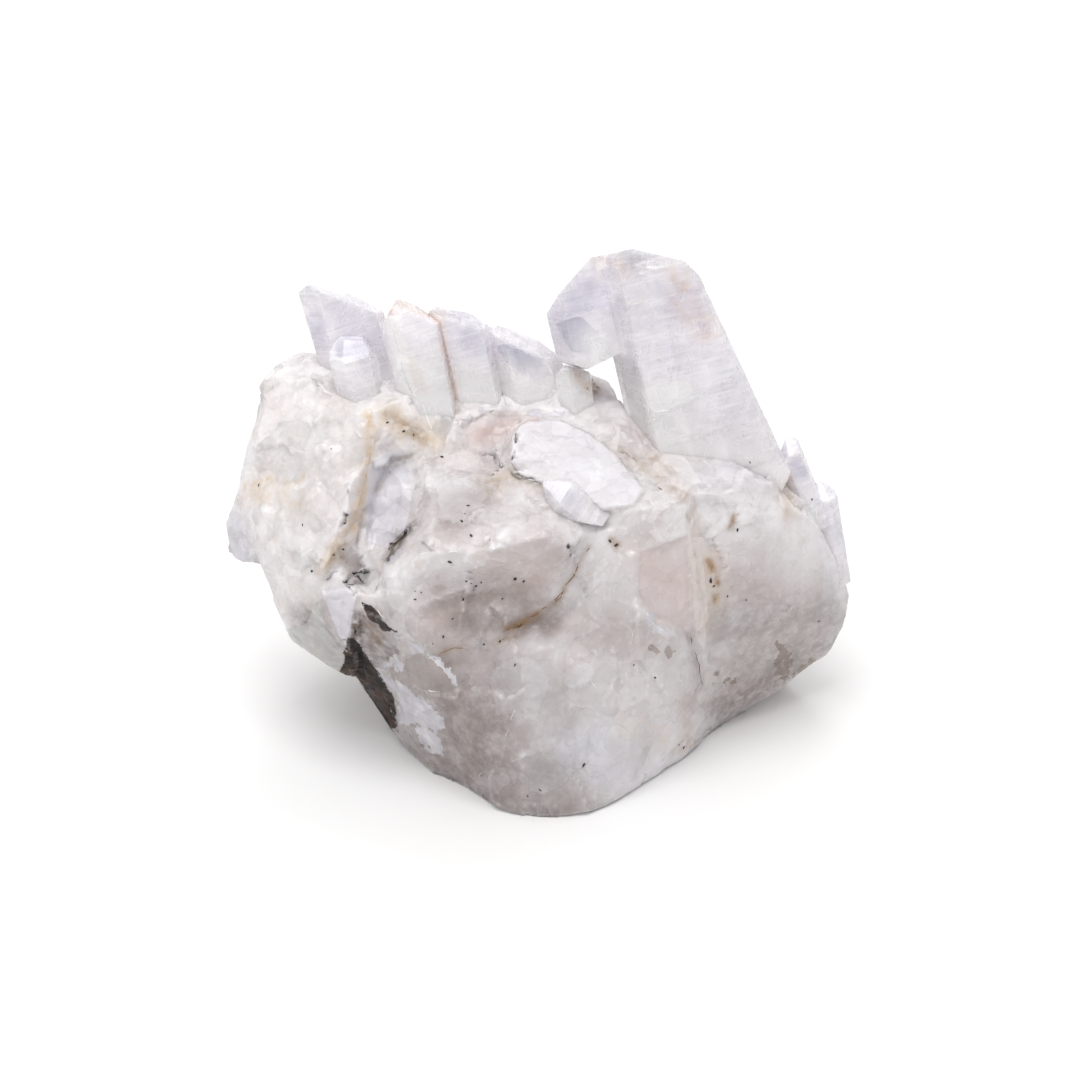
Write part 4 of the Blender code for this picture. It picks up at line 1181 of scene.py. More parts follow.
# The hollows are made darker and browner.
darker_in_hollows = maths(tree, "MULTIPLY", attribute(tree, "hollow"), moss)
worn = maths(tree, "MULTIPLY", attribute(tree, "worn"), ramp(tree, sugar, 0, 1, 0.35, 1))
colour = layered(tree, colour, [
    (maths(tree, "MULTIPLY", darker_in_hollows, 0.45), (0.64, 0.54, 0.47)),
    (maths(tree, "MULTIPLY", worn, 0.4), (0.96, 0.955, 0.965)),
])
tree.links.new(colour, shader.inputs["Base Color"])
print("milky quartz:", len(tree.nodes), "nodes")

# %% [markdown]
# Broken quartz shines like glass where it is smooth and looks dull where it is bruised. Each
# grain has its own shine, and lies a little askew, so the light jumps from grain to grain. These
# tilts are finer than the mesh, so they are bump. Light sinks in a few millimetres and comes out
# again, which subsurface scattering gives.

# %% Shine and grain of the milky material
gloss = ramp(tree, small_grain, 0, 1, 0.22, 0.55)
gloss = maths(tree, "ADD", gloss, maths(tree, "MULTIPLY", worn, 0.15))
tree.links.new(gloss, shader.inputs["Roughness"])
rough_part = ramp(tree, calm, 0, 1, 1, 0.45)
rough_part = maths(tree, "MULTIPLY", rough_part, ramp(tree, shares["tablet"], 0, 1, 1, 0.5))
relief = maths(tree, "MULTIPLY", large_tilt, 0.5)
relief = maths(tree, "ADD", relief, maths(tree, "MULTIPLY", small_tilt, 0.42))
relief = maths(tree, "ADD", maths(tree, "MULTIPLY", relief, rough_part), edges)
bump = add(tree, "ShaderNodeBump", {"Height": relief, "Strength": 1.0, "Distance": 1.0})
tree.links.new(bump.outputs["Normal"], shader.inputs["Normal"])
scatter = ramp(tree, shares["glass"], 0, 1, 0.4, 0.0)
tree.links.new(scatter, shader.inputs["Subsurface Weight"])
glare = ramp(tree, shares["glass"], 0, 1, 0.5, 0.15)
tree.links.new(glare, shader.inputs["Specular IOR Level"])
shader.inputs["Subsurface Radius"].default_value = (1.0, 0.9, 0.85)
shader.inputs["Subsurface Scale"].default_value = 2.0 * MM
shader.inputs["IOR"].default_value = 1.5
stone.data.materials.append(milky)
only(stone)
bpy.ops.object.shade_smooth()
finished(stone, "milky_quartz", "milky_base")

# %% [markdown]
# ## The clear points
# A quartz crystal is a six-sided prism that ends in six sloping faces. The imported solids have
# those planes already. What they lack is the growth: a prism face of quartz is ruled across with
# fine steps, at right angles to the crystal's length, because each layer stopped growing a
# little short of the last. Cutting the solid into many thin slices gives corners to move, and
# moving each slice in or out a few hundredths of a millimetre gives the steps.

# %% Where each point runs from its root to its tip
AXES = {
    "large_point": (seen(28.7, -4, 14.6), seen(17.1, 48.5, -7)),
    "left_tall_point": (seen(-24.3, 12, 15.2), seen(-33, 41.5, 5.7)),
    "short_point": (seen(-27, 17, 4.4), seen(-31.2, 34.4, -1)),
    "middle_points": (seen(-7.8, 12, 10.5), seen(-14.2, 38.4, 1.5)),
    "clear_chip": (seen(9.4, 2.2, -7), seen(0.8, 8.6, -9.4)),
    "right_shards": (seen(44.4, 2, 16), seen(38.6, 16, 10.6)),
    "rear_left_point": (Vector((-20.75, 9.9, 30)) * MM, Vector((-30.25, 26.9, 54.5)) * MM),
    "rear_middle_point": (Vector((-8.75, 11.9, 28)) * MM, Vector((-13.75, 31.9, 54)) * MM),
    "rear_low_point": (Vector((2.25, 11.9, 24)) * MM, Vector((1.65, 34.9, 40.5)) * MM),
    "rear_right_point": (Vector((21.25, 12.9, 30)) * MM, Vector((26.75, 31.9, 53.5)) * MM),
}
FLAT_ANGLE = math.radians(0.5)
SLICE = 0.42
PANEL = 1.3
UNEVEN = (0.6, 1.4)
STEP_DEPTH = 0.075
FINE_SHARE = 0.35
COARSE_SHARE = 0.8


def sliced(piece, along, spacing):
    """Cuts the whole mesh across a direction, at uneven distances, without opening it."""
    reach = read_places(piece) @ np.array(along) / MM
    at = reach.min() + spacing * 0.6
    while at < reach.max() - spacing * 0.4:
        bpy.ops.mesh.select_all(action="SELECT")
        bpy.ops.mesh.bisect(plane_co=along * at * MM, plane_no=along)
        at += spacing * random.uniform(*UNEVEN)


def ruled_point(name):
    """A copy of a packed point with growth steps across its prism faces."""
    piece = copy_of(name, name + "_crystal")
    root, tip = AXES[name]
    axis = (tip - root).normalized()
    side = axis.cross(Vector((0.31, 0.9, 0.2))).normalized()
    mesh_step(piece, bpy.ops.mesh.dissolve_limited, angle_limit=FLAT_ANGLE)
    for direction, spacing in ((axis, SLICE), (side, PANEL), (axis.cross(side), PANEL)):
        bpy.ops.object.mode_set(mode="EDIT")
        sliced(piece, direction, spacing)
        bpy.ops.object.mode_set(mode="OBJECT")
    places = read_places(piece)
    normals = read_normals(piece)
    prism = 1 - smooth_step(np.abs(normals @ np.array(axis)), 0.2, 0.5)
    steps = np.empty(len(places))
    for index, place in enumerate(places):
        height = place @ np.array(axis) / MM
        across = (place @ np.array(side) + place @ np.array(axis.cross(side)) * 0.7) / MM
        face = Vector(normals[index]) * 5
        fine = noise.noise(Vector((height * 1.9, across * 0.16, 0)) + face)
        coarse = noise.noise(Vector((height * 0.33, across * 0.14, 4)) + face)
        steps[index] = FINE_SHARE * round(fine * 2) / 2 + COARSE_SHARE * coarse
    places += normals * (prism * steps * STEP_DEPTH * MM)[:, None]
    write_places(piece, places)
    return piece, axis


crystals = {}
for name in POINTS:
    crystals[name] = ruled_point(name)
    print(name, "now has", len(crystals[name][0].data.polygons), "faces")

# %% [markdown]
# The sharp rims of a real crystal are nibbled by wear. A narrow bevel catches the light along
# them, and smooth shading within each face keeps the face flat-looking.

# %% Soften the rims
RIM_BEVEL = 0.13 * MM
RIM_ANGLE = math.radians(32)
SMOOTH_ANGLE = math.radians(28)
for piece, _ in crystals.values():
    bevel = piece.modifiers.new("rim", "BEVEL")
    bevel.width = RIM_BEVEL
    bevel.segments = 2
    bevel.limit_method = "ANGLE"
    bevel.angle_limit = RIM_ANGLE
    apply_all(piece)
    bpy.ops.object.shade_smooth_by_angle(angle=SMOOTH_ANGLE)
print("bevelled", len(crystals), "points")

# %% [markdown]
# ## Cloud in the crystal
# Near its root every point is milky, and higher up it clears. The depth inside the stone gives
# that cloud: how far each corner of a point is from the stone's skin. Amber stains are drawn on
# the view, as before, and so are painted light on faces in shade, painted grey reflections and
# painted glints.

# %% Stains, painted light, painted reflections and patches of the points
CRYSTAL_STAINS_AND_PAINTED_LIGHT = {
    "amber": [
        ([(-24.5, 36), (-22.5, 38.3), (-18.5, 36.4), (-16, 35.5)], 1.2, 0.7),
        ([(-16, 35.5), (-15.5, 31), (-14.5, 27), (-13, 21), (-11.8, 16.5)], 0.7, 0.5),
        ([(-21.2, 30), (-20, 27), (-19, 24)], 1.0, 0.5),
        ([(8.5, 45.5), (12, 44.5), (14, 43)], 1.6, 0.55),
        ([(22, 42), (24, 37), (27, 33.5)], 2.6, 0.55), ([(6, 26.6), (8.6, 24)], 1.2, 0.8),
        ([(-24, 19), (-18.5, 15.8)], 2, 0.7), ([(40, 10), (38, 6), (39.5, 2.5)], 0.8, 0.5),
    ],
    # Painted light: the lower faces of the points in the row and at the foot of the large point are
    # lightened, and the glaring left facet of the amber point is painted white; a few thin lines are white
    # cracks.
    "painted_light_and_fractures": [
        ([(-24.7, 35.3), (-22.8, 36), (-21.3, 30), (-20, 28.5), (-23, 26.5)], 0, 1.0),
        ([(-18.4, 21.2), (-17.2, 17.6)], 0.6, 1.0),
        ([(0.8, 28.4), (2.8, 25)], 0.5, 0.9), ([(-4, 24), (4, 22)], 2.0, 0.7),
        ([(3, 27), (6, 22)], 1.8, 0.6),
        ([(-30, 28.5), (-28, 24.5)], 0.35, 0.9), ([(-26, 28.5), (-24.5, 25.5)], 0.35, 0.9),
        ([(43.7, 5), (44.5, 1.5), (46, -1)], 0.6, 0.9), ([(14, 38), (17, 38.4)], 0.4, 0.7),
        ([(22, 9), (34, 9)], 4, 0.5), ([(17, 24.4), (20, 22), (23, 23)], 2.2, 0.6),
        ([(12, 30), (14, 22), (17, 17)], 1.6, 0.7),
        ([(-21, 26), (-13, 25), (-5, 24), (6, 25)], 4.6, 0.85),
        ([(9, 31), (9, 24)], 3, 0.95), ([(14, 20), (20, 17)], 3.2, 0.85),
    ],
    # Painted grey reflections: faces of the points are darkened where they mirror the greyer room, and one
    # top facet is darkened against its glint.
    "painted_grey_reflection": [
        ([(-5.7, 31.3), (-3.5, 31), (0.5, 29.3), (0.5, 26), (-2, 25.7), (-4, 27.5)], 0, 0.85),
        ([(-36, 36), (-35, 31)], 1.2, 0.4),
        ([(4, 36), (8, 40)], 2.5, 0.4), ([(2, 33), (8, 29)], 2.2, 0.4),
        ([(39, 14), (42, 11)], 1.4, 0.5),
        ([(2, 8.4), (5, 7)], 1.5, 0.2),
        ([(-33.2, 31), (-31.5, 32.8), (-28, 32.4), (-27, 30), (-28.6, 28.8), (-32.8, 29)], 0, 0.45),
        ([(-13, 35), (-10, 30)], 2, 0.35),
    ],
}
CRYSTAL_PATCHES = {
    # Painted reflections: termination faces that look dark and see-through are painted grey.
    "painted_window_reflection": [
        [(-7.2, 31), (-5.1, 31.7), (1.2, 27.8), (1.9, 25.2), (-0.9, 25.3), (-5.5, 28.4)],
        [(2.4, 34.6), (6.4, 36), (9.6, 33), (9, 29.6), (5, 30)],
    ],
    # Painted glints: a glaring facet and white zones painted bright, together with a white fracture in the
    # large point.
    "painted_glint_and_fracture": [
        [(-24.8, 35.2), (-23.4, 35.9), (-21.3, 32.7), (-20.6, 27.8), (-23.4, 26.4), (-24.2, 31.3)],
        [(-19, 21.6), (-17.9, 21.6), (-16.9, 17.6), (-17.9, 17.2)],
        [(-5.4, 27.8), (-1, 25), (2, 24.6), (1, 22.4), (-3.4, 23)],
        [(16.2, 24.2), (17.2, 21.6), (18.6, 20.4), (21, 20.9), (24.8, 23.2), (24, 25.6), (20, 25.2)],
    ],
}
print("stains, painted shade and light:", ", ".join(CRYSTAL_STAINS_AND_PAINTED_LIGHT), "and patches:", ", ".join(CRYSTAL_PATCHES))


# %% Attributes of the points
def signed_depth(tree, place):
    """How deep a place lies under the skin of a closed mesh, in millimetres. Outside is negative."""
    spot, normal, _, distance = tree.find_nearest(Vector(place))
    return (distance if (Vector(place) - spot).dot(normal) < 0 else -distance) / MM


CLEAR_FROM = {"large_point": 15.0, "middle_points": 9.0, "left_tall_point": 7.0, "short_point": 5.0}
REACH = 70 * MM
stone_tree = skin_tree(stone)
for name, (piece, axis) in crystals.items():
    places = read_places(piece)
    depth = np.array([signed_depth(stone_tree, place) for place in places])
    set_attribute(piece, "root", smooth_step(depth, -CLEAR_FROM.get(name, 2.5), 0.5))
    view = as_viewed(places)
    front = smooth_step(read_normals(piece) @ TOWARD_VIEWER, -0.1, 0.2)
    root = np.array(AXES[name][0])
    side = np.array(axis.cross(Vector((0, 0.5, 0.86))).normalized())
    set_attribute(piece, "along", (places - root) @ np.array(axis) / REACH)
    set_attribute(piece, "across", 0.5 + (places - root) @ side / REACH)
    for stain_or_light, drawings in CRYSTAL_STAINS_AND_PAINTED_LIGHT.items():
        set_attribute(piece, stain_or_light, drawn(view, drawings) * front)
    set_patches(piece, CRYSTAL_PATCHES, view, front)
print("attributes on", len(crystals), "points")

# %% [markdown]
# ## Clear quartz
# Clear crystal is made by plain transmission with the refractive index of quartz, 1.544. Real
# points are never empty glass: a thin cloud hangs in them, so some of the light is scattered
# back. The cloud is thicker at the root, and thin wisps of it run through the body.

# %% The clear material
RULINGS = 170.0
RULING_DEPTH = 0.05 * MM
FROST_DEPTH = 0.012 * MM
clear, tree, shader, place = new_material("clear_quartz")
wisps = noise_share(tree, place, 130, 0.4, 0.72, detail=4, rough=0.6, warp=1.0)
fine = noise_share(tree, place, 700, 0.4, 0.75, detail=4)
grain = noise_share(tree, place, 360, 0.3, 0.7, detail=3, warp=0.8)
along = maths(tree, "MULTIPLY", attribute(tree, "along"), RULINGS)
across = maths(tree, "MULTIPLY", attribute(tree, "across"), RULINGS * 0.07)
ruled = add(tree, "ShaderNodeCombineXYZ", {"X": along, "Y": across}).outputs["Vector"]
ruling = add(tree, "ShaderNodeTexNoise", {"Vector": ruled, "Scale": 1.0, "Detail": 2}).outputs["Fac"]
root = attribute(tree, "root")
# Painted light on the points, with some white cracks; it also makes the crystal cloudier there.
painted_light_and_fractures = attribute(tree, "painted_light_and_fractures")
cloudy = maths(tree, "ADD", ramp(tree, wisps, 0, 1, 0.69, 0.89), maths(tree, "MULTIPLY", fine, 0.1))
cloudy = maths(tree, "ADD", cloudy, ramp(tree, ruling, 0.5, 0.7, 0, 0.12))
cloudy = maths(tree, "MAXIMUM", cloudy, maths(tree, "MULTIPLY", root, 0.95))
cloudy = maths(tree, "MAXIMUM", cloudy, maths(tree, "MULTIPLY", painted_light_and_fractures, 0.95))
uneven = uneven_noise(tree, place)
# Painted window reflections and painted glints, each cut off at a clean edge.
painted_window_reflection = clean_edge(tree, uneven, "painted_window_reflection", 0.05)
painted_glint_and_fracture = clean_edge(tree, uneven, "painted_glint_and_fracture", 0.12)
cloudy = maths(tree, "MAXIMUM", cloudy, maths(tree, "MULTIPLY", painted_glint_and_fracture, 0.85))
transmission = maths(tree, "SUBTRACT", 1.0, maths(tree, "MINIMUM", cloudy, 1.0))
colour = mixed(tree, wisps, linear(0.955, 0.942, 0.985), linear(0.985, 0.97, 0.995))
colour = layered(tree, colour, [
    (ramp(tree, grain, 0.4, 0, 0, 0.3), (0.90, 0.885, 0.925)),
    (ramp(tree, ruling, 0.42, 0.3, 0, 0.5), (0.86, 0.85, 0.89)),
    (ramp(tree, ruling, 0.55, 0.7, 0, 0.6), (0.995, 0.99, 1.0)),
])
milk = mixed(tree, wisps, linear(0.975, 0.957, 0.972), linear(0.955, 0.935, 0.94))
colour = mixed(tree, root, colour, milk)
patchy = noise_share(tree, place, 500, 0.25, 0.6, detail=5)
amber = maths(tree, "MULTIPLY", attribute(tree, "amber"), patchy)
# Painted grey reflections, painted window reflections, painted light and painted glints are laid over the
# crystal, then the amber stains.
colour = layered(tree, colour, [
    (maths(tree, "MULTIPLY", attribute(tree, "painted_grey_reflection"), 0.8), (0.66, 0.66, 0.73)),
    (maths(tree, "MULTIPLY", painted_window_reflection, 0.55), (0.68, 0.68, 0.74)),
    (painted_light_and_fractures, (0.99, 0.985, 0.99)),
    (maths(tree, "MULTIPLY", painted_glint_and_fracture, 0.7), (1.0, 0.985, 0.99)),
    (maths(tree, "MULTIPLY", amber, 0.75), (0.87, 0.75, 0.62)),
])
tree.links.new(colour, shader.inputs["Base Color"])
tree.links.new(transmission, shader.inputs["Transmission Weight"])
tree.links.new(ramp(tree, grain, 0, 1, 0.16, 0.36), shader.inputs["Roughness"])
shader.inputs["Subsurface Weight"].default_value = 0.5
shader.inputs["Subsurface Radius"].default_value = (1, 1, 1)
shader.inputs["Subsurface Scale"].default_value = 4 * MM
shader.inputs["IOR"].default_value = 1.544
lines = maths(tree, "MULTIPLY", ruling, RULING_DEPTH)
relief = maths(tree, "ADD", lines, maths(tree, "MULTIPLY", fine, FROST_DEPTH))
bump = add(tree, "ShaderNodeBump", {"Height": relief, "Strength": 1.0, "Distance": 1.0})
tree.links.new(bump.outputs["Normal"], shader.inputs["Normal"])
for name, (piece, _) in crystals.items():
    piece.data.materials.append(clear)
    finished(piece, "clear_quartz", name)
print("clear quartz:", len(tree.nodes), "nodes")

# %% [markdown]
# ## Seams on the surface
# Rust in a crack, an amber film along an edge, the dark line of an open fissure, the bright line of
# a healed one and the painted highlight along a ridge or glint in a crack are all far thinner than
# the skin's faces. Each is a curve that follows the surface, with a radius that swells and shrinks
# and gaps where it fades, turned into a mesh.

# %% Lines of the seams
SEAMS = {
    "rust_seams": ((0.44, 0.29, 0.17), [
        ([(6.6, -2.6), (5.5, -5.5), (4, -7.5), (3.2, -9.3), (1.5, -11), (-1, -12), (-3, -13.5),
          (-5, -14.2)], 0.16, -0.05),
        ([(3.8, -8), (1.6, -10.4), (-0.6, -11.6)], 0.2, 0.0),
        ([(-0.4, -11.9), (-2, -12.7), (-3.4, -13.8), (-5.4, -14.3)], 0.24, -0.1),
        ([(-4, -15.5), (-5.6, -15.9), (-7, -16.5)], 0.12, 0.0),
        ([(-16, -18.2), (-14, -17.3), (-11.5, -17.2)], 0.11, -0.3),
        ([(-20.6, -7.6), (-18.4, -7.2)], 0.1, -0.1),
        ([(12.8, 14.2), (14.5, 13.3), (18, 11), (21, 8.5)], 0.12, -0.05),
        ([(13.4, 12.6), (16, 10.4), (19.6, 8)], 0.08, 0.05),
        ([(-24, 19.6), (-21, 18.2), (-18.5, 15.8)], 0.1, 0.05),
        ([(27.4, -3.4), (28.4, -5), (28, -6)], 0.1, 0.1),
        ([(31.4, 3.8), (30, 1.4)], 0.1, 0.1), ([(7, 26.6), (8.4, 24.6)], 0.12, 0.0),
    ]),
    "amber_seams": ((0.74, 0.65, 0.54), [
        ([(-16, 35.2), (-15.5, 31), (-14.5, 27), (-13, 21), (-12, 17)], 0.08, -0.1),
        ([(40, 10), (38, 6), (39.4, 2.6)], 0.08, -0.1),
        ([(-24.4, 36), (-22.5, 38), (-19, 36.6), (-16.4, 35.4)], 0.09, -0.1),
        ([(-27.4, 20), (-27, 15), (-28, 9), (-30, 2)], 0.14, -0.1),
        (GROOVES["slab_line"][0], 0.12, -0.1),
        ([(-30.4, 0.6), (-33, -2.6), (-35, -5)], 0.12, 0.0),
        ([(27, -25), (28.6, -31)], 0.1, 0.0), ([(24.8, 3), (24.6, -3), (25.8, -9)], 0.1, 0.05),
    ]),
    "dark_seams": ((0.33, 0.29, 0.27), [
        ([(24, -15.5), (25.3, -19.5), (26, -23.5)], 0.2, -0.3),
        ([(-8.8, 31.6), (-7, 26.5), (-5.4, 21.4)], 0.07, -0.3),
        ([(8, -1), (7.4, -2)], 0.14, -0.4), ([(-20.4, 2.4), (-22, 0), (-24, -2.5)], 0.16, 0.0),
        ([(-23.6, 34), (-22.2, 28), (-20.4, 23)], 0.06, -0.1),
        ([(-28.6, -14), (-29, -18), (-27.4, -22.6)], 0.16, 0.0),
        ([(-25, -24.6), (-23, -28.6), (-22.6, -31)], 0.2, -0.1),
        ([(-26.4, -11.6), (-24.2, -14), (-22.6, -16)], 0.16, 0.0),
        ([(28.5, -31), (28.8, -33.4)], 0.12, -0.3), ([(-4.6, 12.8), (-4.8, 15.4)], 0.08, -0.1),
        ([(13, 14.4), (15.4, 12.6)], 0.1, -0.1), ([(38.6, -19), (40.6, -21.4)], 0.16, 0.1),
    ]),
    # Bright lines: white cracks inside the points, and painted highlights and glints along ridges and
    # edges of the stone.
    "bright_cracks_and_painted_glints": ((0.99, 0.985, 0.995), [
        ([(15.9, 24.7), (20, 25.6), (25, 26.8)], 0.14, -0.4),
        ([(16.2, 24.2), (17.2, 21.6), (18.6, 20.4), (21, 20.9), (24.8, 23.2)], 0.17, -0.3),
        ([(18.4, 23.8), (19.2, 21.4)], 0.13, -0.4), ([(20.6, 24.6), (20.9, 21.4)], 0.12, -0.3),
        ([(17.4, 22.6), (19.8, 22.4), (22.4, 22.8)], 0.13, -0.3),
        ([(19.6, 19.6), (19, 17), (18.4, 15.2)], 0.12, -0.3), ([(20.4, 18.8), (20, 17.2)], 0.08, -0.3),
        ([(17, 20.4), (17.6, 18.6)], 0.07, -0.3),
        ([(14, 37.5), (17.4, 38.3)], 0.09, -0.3), ([(13.6, 38.9), (16, 39.5)], 0.06, -0.3),
        ([(12.8, 40.4), (18.8, 41.8)], 0.05, -0.2),
        ([(12.6, 41.8), (20, 43.4)], 0.05, -0.2), ([(15.8, 33.4), (21.4, 34.5)], 0.06, -0.2),
        ([(12.4, 39.4), (19.4, 40.8)], 0.04, -0.1),
        ([(24.6, 14.6), (25.8, 17.6)], 0.07, -0.2), ([(26.8, 13), (27.6, 16.4)], 0.06, -0.2),
        ([(4, 39.6), (6.2, 41.4)], 0.07, -0.1),
        ([(-31.8, 28.4), (-30.3, 28.6), (-28.2, 24.6)], 0.09, -0.3),
        ([(-27.2, 29), (-25.5, 26)], 0.08, -0.3), ([(-26.4, 34), (-24.2, 27.4)], 0.08, -0.2),
        ([(-5.4, 31), (-1, 30.4), (0.6, 28.8)], 0.08, -0.2),
        ([(-3.6, 26.2), (-1, 25.6), (1.4, 25.6)], 0.09, -0.2), ([(1, 28.5), (2.9, 25)], 0.13, -0.4),
        ([(-4, 24.6), (0.4, 24.6), (2.2, 23.6)], 0.09, -0.2), ([(-3.4, 28), (-2.4, 26)], 0.06, -0.2),
        ([(3.4, 27), (4.4, 24.6), (3.6, 22.6)], 0.1, -0.1),
        ([(4.8, 27.4), (6.2, 25)], 0.1, -0.1), ([(-18.8, 21.8), (-17.4, 17.6)], 0.16, -0.4),
        ([(0.9, 8.2), (2.2, 10), (4, 10.1), (6.8, 8.9)], 0.09, -0.3),
        ([(8.8, 6.4), (9.5, 4.2), (8.6, 2)], 0.08, -0.3),
        ([(44.2, 4.8), (44.8, 1.4), (46, -1.4)], 0.14, -0.3), ([(41, 14), (42.6, 10.6)], 0.07, -0.1),
        ([(-25.2, -22), (-23.2, -25), (-22.8, -29)], 0.09, -0.1),
        ([(-29.4, -16), (-27.4, -19), (-25.2, -22.2)], 0.09, 0.0),
        (RIDGES["left_ridge"][0], 0.12, 0.0),
        ([(-18, -24), (-14, -24.6), (-12, -27)], 0.09, 0.05),
        ([(17, -11.6), (18.4, -13.8), (21, -15), (24, -15.6)], 0.1, 0.0),
        ([(-24, -5.6), (-19, -2.2), (-13, -1.8)], 0.12, 0.1),
        ([(-8, -2), (-5, 0.4), (-3, 3), (-3, 5.4)], 0.12, 0.05),
        ([(-4.9, 12.8), (-4.5, 16.3), (-3.3, 18.3), (-1.8, 19)], 0.1, -0.1),
        ([(-35, -9.6), (-34.4, -12.4), (-32.6, -15.6), (-30.6, -18.4)], 0.12, -0.1),
        ([(10.6, 46), (11.8, 36), (13.2, 24)], 0.07, 0.05),
        ([(24.4, 43.6), (30, 31), (36.4, 17.6)], 0.08, 0.05),
        ([(-34.3, 37.4), (-32.5, 32.6)], 0.08, -0.1), ([(-25.6, 34.4), (-23.6, 28)], 0.08, -0.1),
        ([(3, -17.4), (7, -20), (9, -24)], 0.07, 0.1),
        ([(14.4, -10.2), (15.4, -13), (14.4, -17)], 0.08, 0.1),
        ([(30, -15), (32, -12), (33, -8)], 0.07, 0.15),
        ([(-10, -38), (-6, -33), (-4, -27)], 0.07, 0.15),
    ]),
}
print("seams:", {name: len(lines) for name, (_, lines) in SEAMS.items()})

# %% What the viewer meets first
seen_pieces = [stone] + [piece for piece, _ in crystals.values()]
seen_trees = [skin_tree(piece) for piece in seen_pieces]


def first_hit(across, up):
    """The nearest visible place and its outward normal where the viewer looks, or nothing."""
    sight = line_of_sight(across, up)
    hits = [tree.ray_cast(camera_place, sight) for tree in seen_trees]
    hits = [hit for hit in hits if hit[0]]
    return min(hits, key=lambda hit: hit[3])[:2] if hits else (None, None)


print("the middle of the view meets", [round(x, 4) for x in first_hit(0, 0)[0]])


# %% Matt material
def plain_material(name, colour, roughness, spread=0.25):
    """A matt material whose lightness wanders a little."""
    made, tree, shader, place = new_material(name)
    drift = noise_share(tree, place, 900, 0.3, 0.7, detail=3)
    paler = linear(*(min(1.0, c * (1 + spread)) for c in colour))
    tree.links.new(mixed(tree, drift, linear(*colour), paler), shader.inputs["Base Color"])
    tree.links.new(ramp(tree, drift, 0, 1, roughness - 0.1, roughness + 0.1), shader.inputs["Roughness"])
    return made


# %% Seams
SEAM_STEP = 0.3
SEAM_STRAY = 0.22
SEAM_SUNK = 0.55
SEAM_BREAK = 4 * SEAM_STEP * MM


def seam_curve(name, lines):
    curve = bpy.data.curves.new(name, "CURVE")
    curve.dimensions = "3D"
    curve.bevel_depth = 1
    curve.bevel_resolution = 0
    curve.use_fill_caps = True
    for line, radius, gap in lines:
        run = []
        for index, (across, up) in enumerate(sampled(line, SEAM_STEP)):
            wander = noise.noise_vector(Vector((across * 1.3, up * 1.3, radius * 40)))
            fade = noise.noise(Vector((across * 0.8, up * 0.8, radius * 90 + 7)))
            place, normal = first_hit(across + wander.x * SEAM_STRAY, up + wander.y * SEAM_STRAY)
            kept = place is not None and fade > gap
            if run and (not kept or (place - run[-1][0]).length > SEAM_BREAK):
                add_run(curve, run)
                run = []
            if kept:
                swell = radius * (0.55 + 0.9 * abs(noise.noise(Vector((across * 2.1, up * 2.1, 3)))))
                run.append((place - normal * swell * SEAM_SUNK * MM, swell * MM))
        add_run(curve, run)
    only(linked(name, curve))
    bpy.ops.object.convert(target="MESH")
    made = bpy.context.object
    mesh_step(made, bpy.ops.mesh.remove_doubles, threshold=SAME_PLACE)
    mesh_step(made, bpy.ops.mesh.normals_make_consistent, inside=False)
    return made


def add_run(curve, run):
    if len(run) < 3:
        return
    spline = curve.splines.new("POLY")
    spline.points.add(len(run) - 1)
    for point, (place, radius) in zip(spline.points, run):
        point.co = (*place, 1)
        point.radius = radius
    spline.points[0].radius *= 0.4
    spline.points[-1].radius *= 0.4


for name, (colour, lines) in SEAMS.items():
    seam = seam_curve(name, lines)
    seam.data.materials.append(plain_material(name + "_stain", colour, 0.5))
    finished(seam, "milky_quartz")

# %% [markdown]
# ## Dark flecks
# Tiny dark grains sit on the stone. Each is a flattened, slightly crooked ball pressed into the
# skin where the photograph shows one, and a few more lie on the sides that it doesn't show.

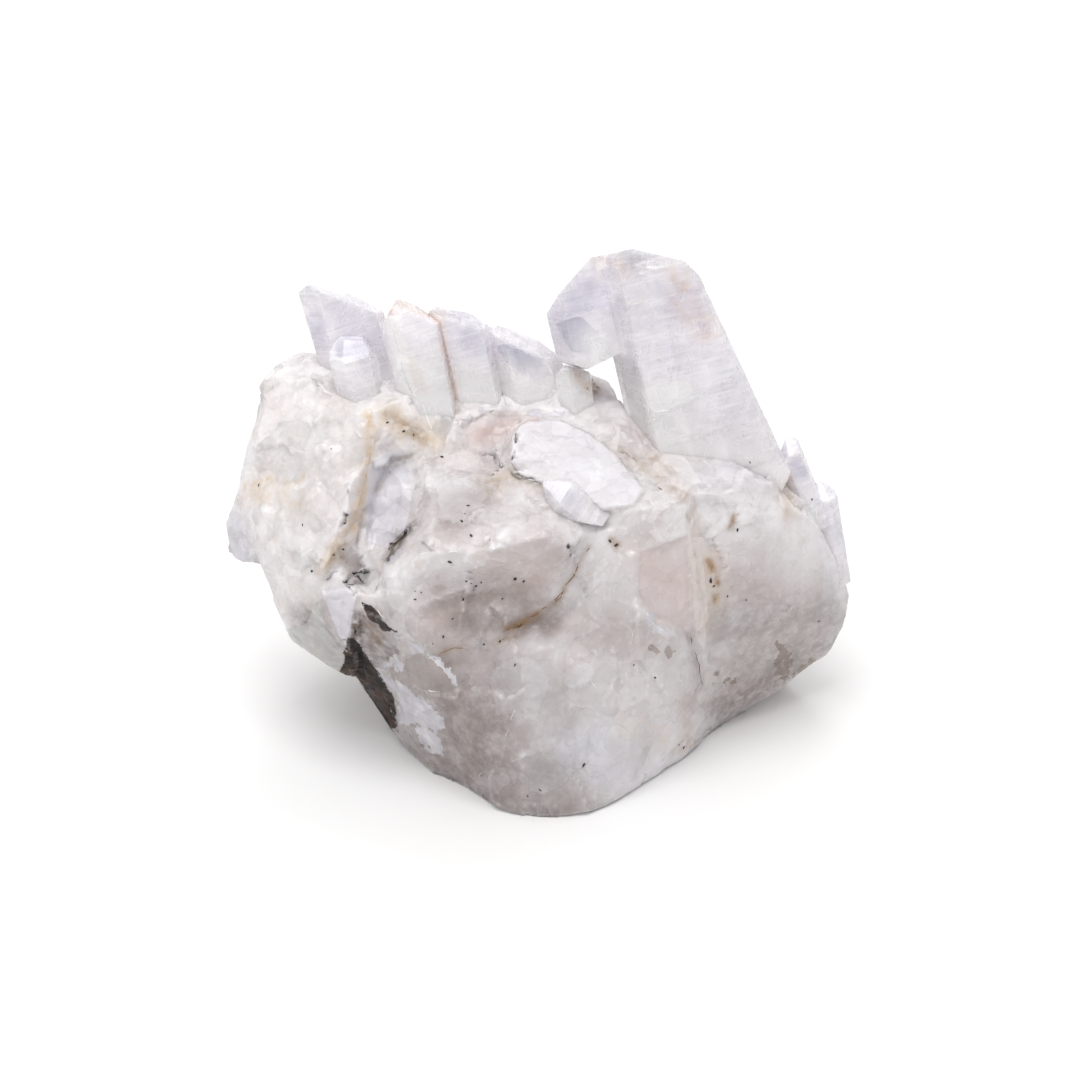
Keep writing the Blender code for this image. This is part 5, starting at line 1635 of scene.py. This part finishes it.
# %% Places of the flecks
FLECKS = [
    (-11, -7, 0.35), (-10.2, -7.4, 0.28), (-11.8, -6.6, 0.25), (-9.4, -6.8, 0.22), (-10.6, -8, 0.2),
    (-14.5, -3.5, 0.42), (-12.3, -9.5, 0.3), (-4, -6.2, 0.5), (-2.6, -6.6, 0.3), (-20, -9.5, 0.25),
    (-15.5, -15.5, 0.28), (-9, -16.7, 0.3), (-11.5, 5.5, 0.3), (-12.5, 3, 0.35), (-11, 0.7, 0.35),
    (-8, 0, 0.22), (-12, 4.2, 0.2), (-15.7, 13.3, 0.4), (-36.5, -5, 0.38), (-31.5, -1.5, 0.3),
    (-33, -2.4, 0.25), (12.2, -0.8, 0.4), (11.2, -0.2, 0.3), (27.3, -6.5, 0.45), (27.8, -7.4, 0.3),
    (-4, -20, 0.25), (7, -36, 0.35), (23, -33.2, 0.35), (22.2, -32.8, 0.25), (43.5, 6.5, 0.3),
    (36, 10, 0.25), (15, -20, 0.25), (18.4, -22, 0.3), (30, -9, 0.22), (33, -9.6, 0.25),
    (31.6, 1.6, 0.3), (0, -40, 0.25), (-2, -41, 0.2), (-45, 8.8, 0.25), (-24.4, 18.8, 0.25),
    (-21.8, 17.4, 0.3), (-20.2, 16.8, 0.22), (33.6, 12.4, 0.22), (-20, -8.2, 0.2), (-19, -8.4, 0.2),
    (-17.2, -16.6, 0.2), (-6.4, -16.2, 0.25), (44.6, -13, 0.25), (-14, -12.6, 0.22), (-6, -9.4, 0.2),
    (-38, 2.4, 0.22), (-33.4, 14.6, 0.18), (8.4, 25.6, 0.25), (9.2, 24.4, 0.2), (7.6, 24.2, 0.22),
]
print("flecks on the front:", len(FLECKS))

# %% Flecks
HIDDEN_FLECKS = 40
HIDDEN_SIZES = (0.2, 0.4)
FLECK_OUT = 0.04
FLECK_WOBBLE = 0.45
FLECK_STRETCH = (0.8, 1.7)
FLECK_FLAT = (0.75, 0.45)


def fleck(place, normal, size):
    bpy.ops.mesh.primitive_ico_sphere_add(subdivisions=2, radius=size * MM * 0.7, location=(0, 0, 0))
    made = bpy.context.object
    places = read_places(made)
    wobble = np.array([noise.noise(Vector(p) / (size * 0.5 * MM) + place * 900) for p in places])
    places *= (1 + FLECK_WOBBLE * wobble)[:, None]
    places *= (random.uniform(*FLECK_STRETCH), *FLECK_FLAT)
    turn = Vector(normal).to_track_quat("Z", "Y").to_matrix()
    spin = random.uniform(0, math.pi)
    across = np.array(turn @ Vector((math.cos(spin), math.sin(spin), 0)))
    along = np.cross(normal, across)
    out = np.array(normal) * size * FLECK_OUT * MM
    write_places(made, places @ np.array((across, along, normal)) + np.array(place) + out)
    return made


flecks = []
for across, up, size in FLECKS:
    place, normal = first_hit(across, up)
    if place:
        flecks.append(fleck(place, normal, size))
places = read_places(stone)
normals = read_normals(stone)
turned_away = (normals @ TOWARD_VIEWER < -0.1) & (normals[:, 2] > -0.5)
unseen = np.flatnonzero(turned_away & (places[:, 2] > 4 * MM))
for index in random.choice(unseen, HIDDEN_FLECKS, replace=False):
    size = random.uniform(*HIDDEN_SIZES)
    flecks.append(fleck(Vector(places[index]), Vector(normals[index]), size))
only(flecks[0])
for made in flecks:
    made.select_set(True)
bpy.ops.object.join()
flecks[0].name = "dark_flecks"
flecks[0].data.materials.append(plain_material("fleck_stain", (0.17, 0.14, 0.13), 0.6, 0.6))
finished(flecks[0], "milky_quartz")
print("flecks:", len(flecks))
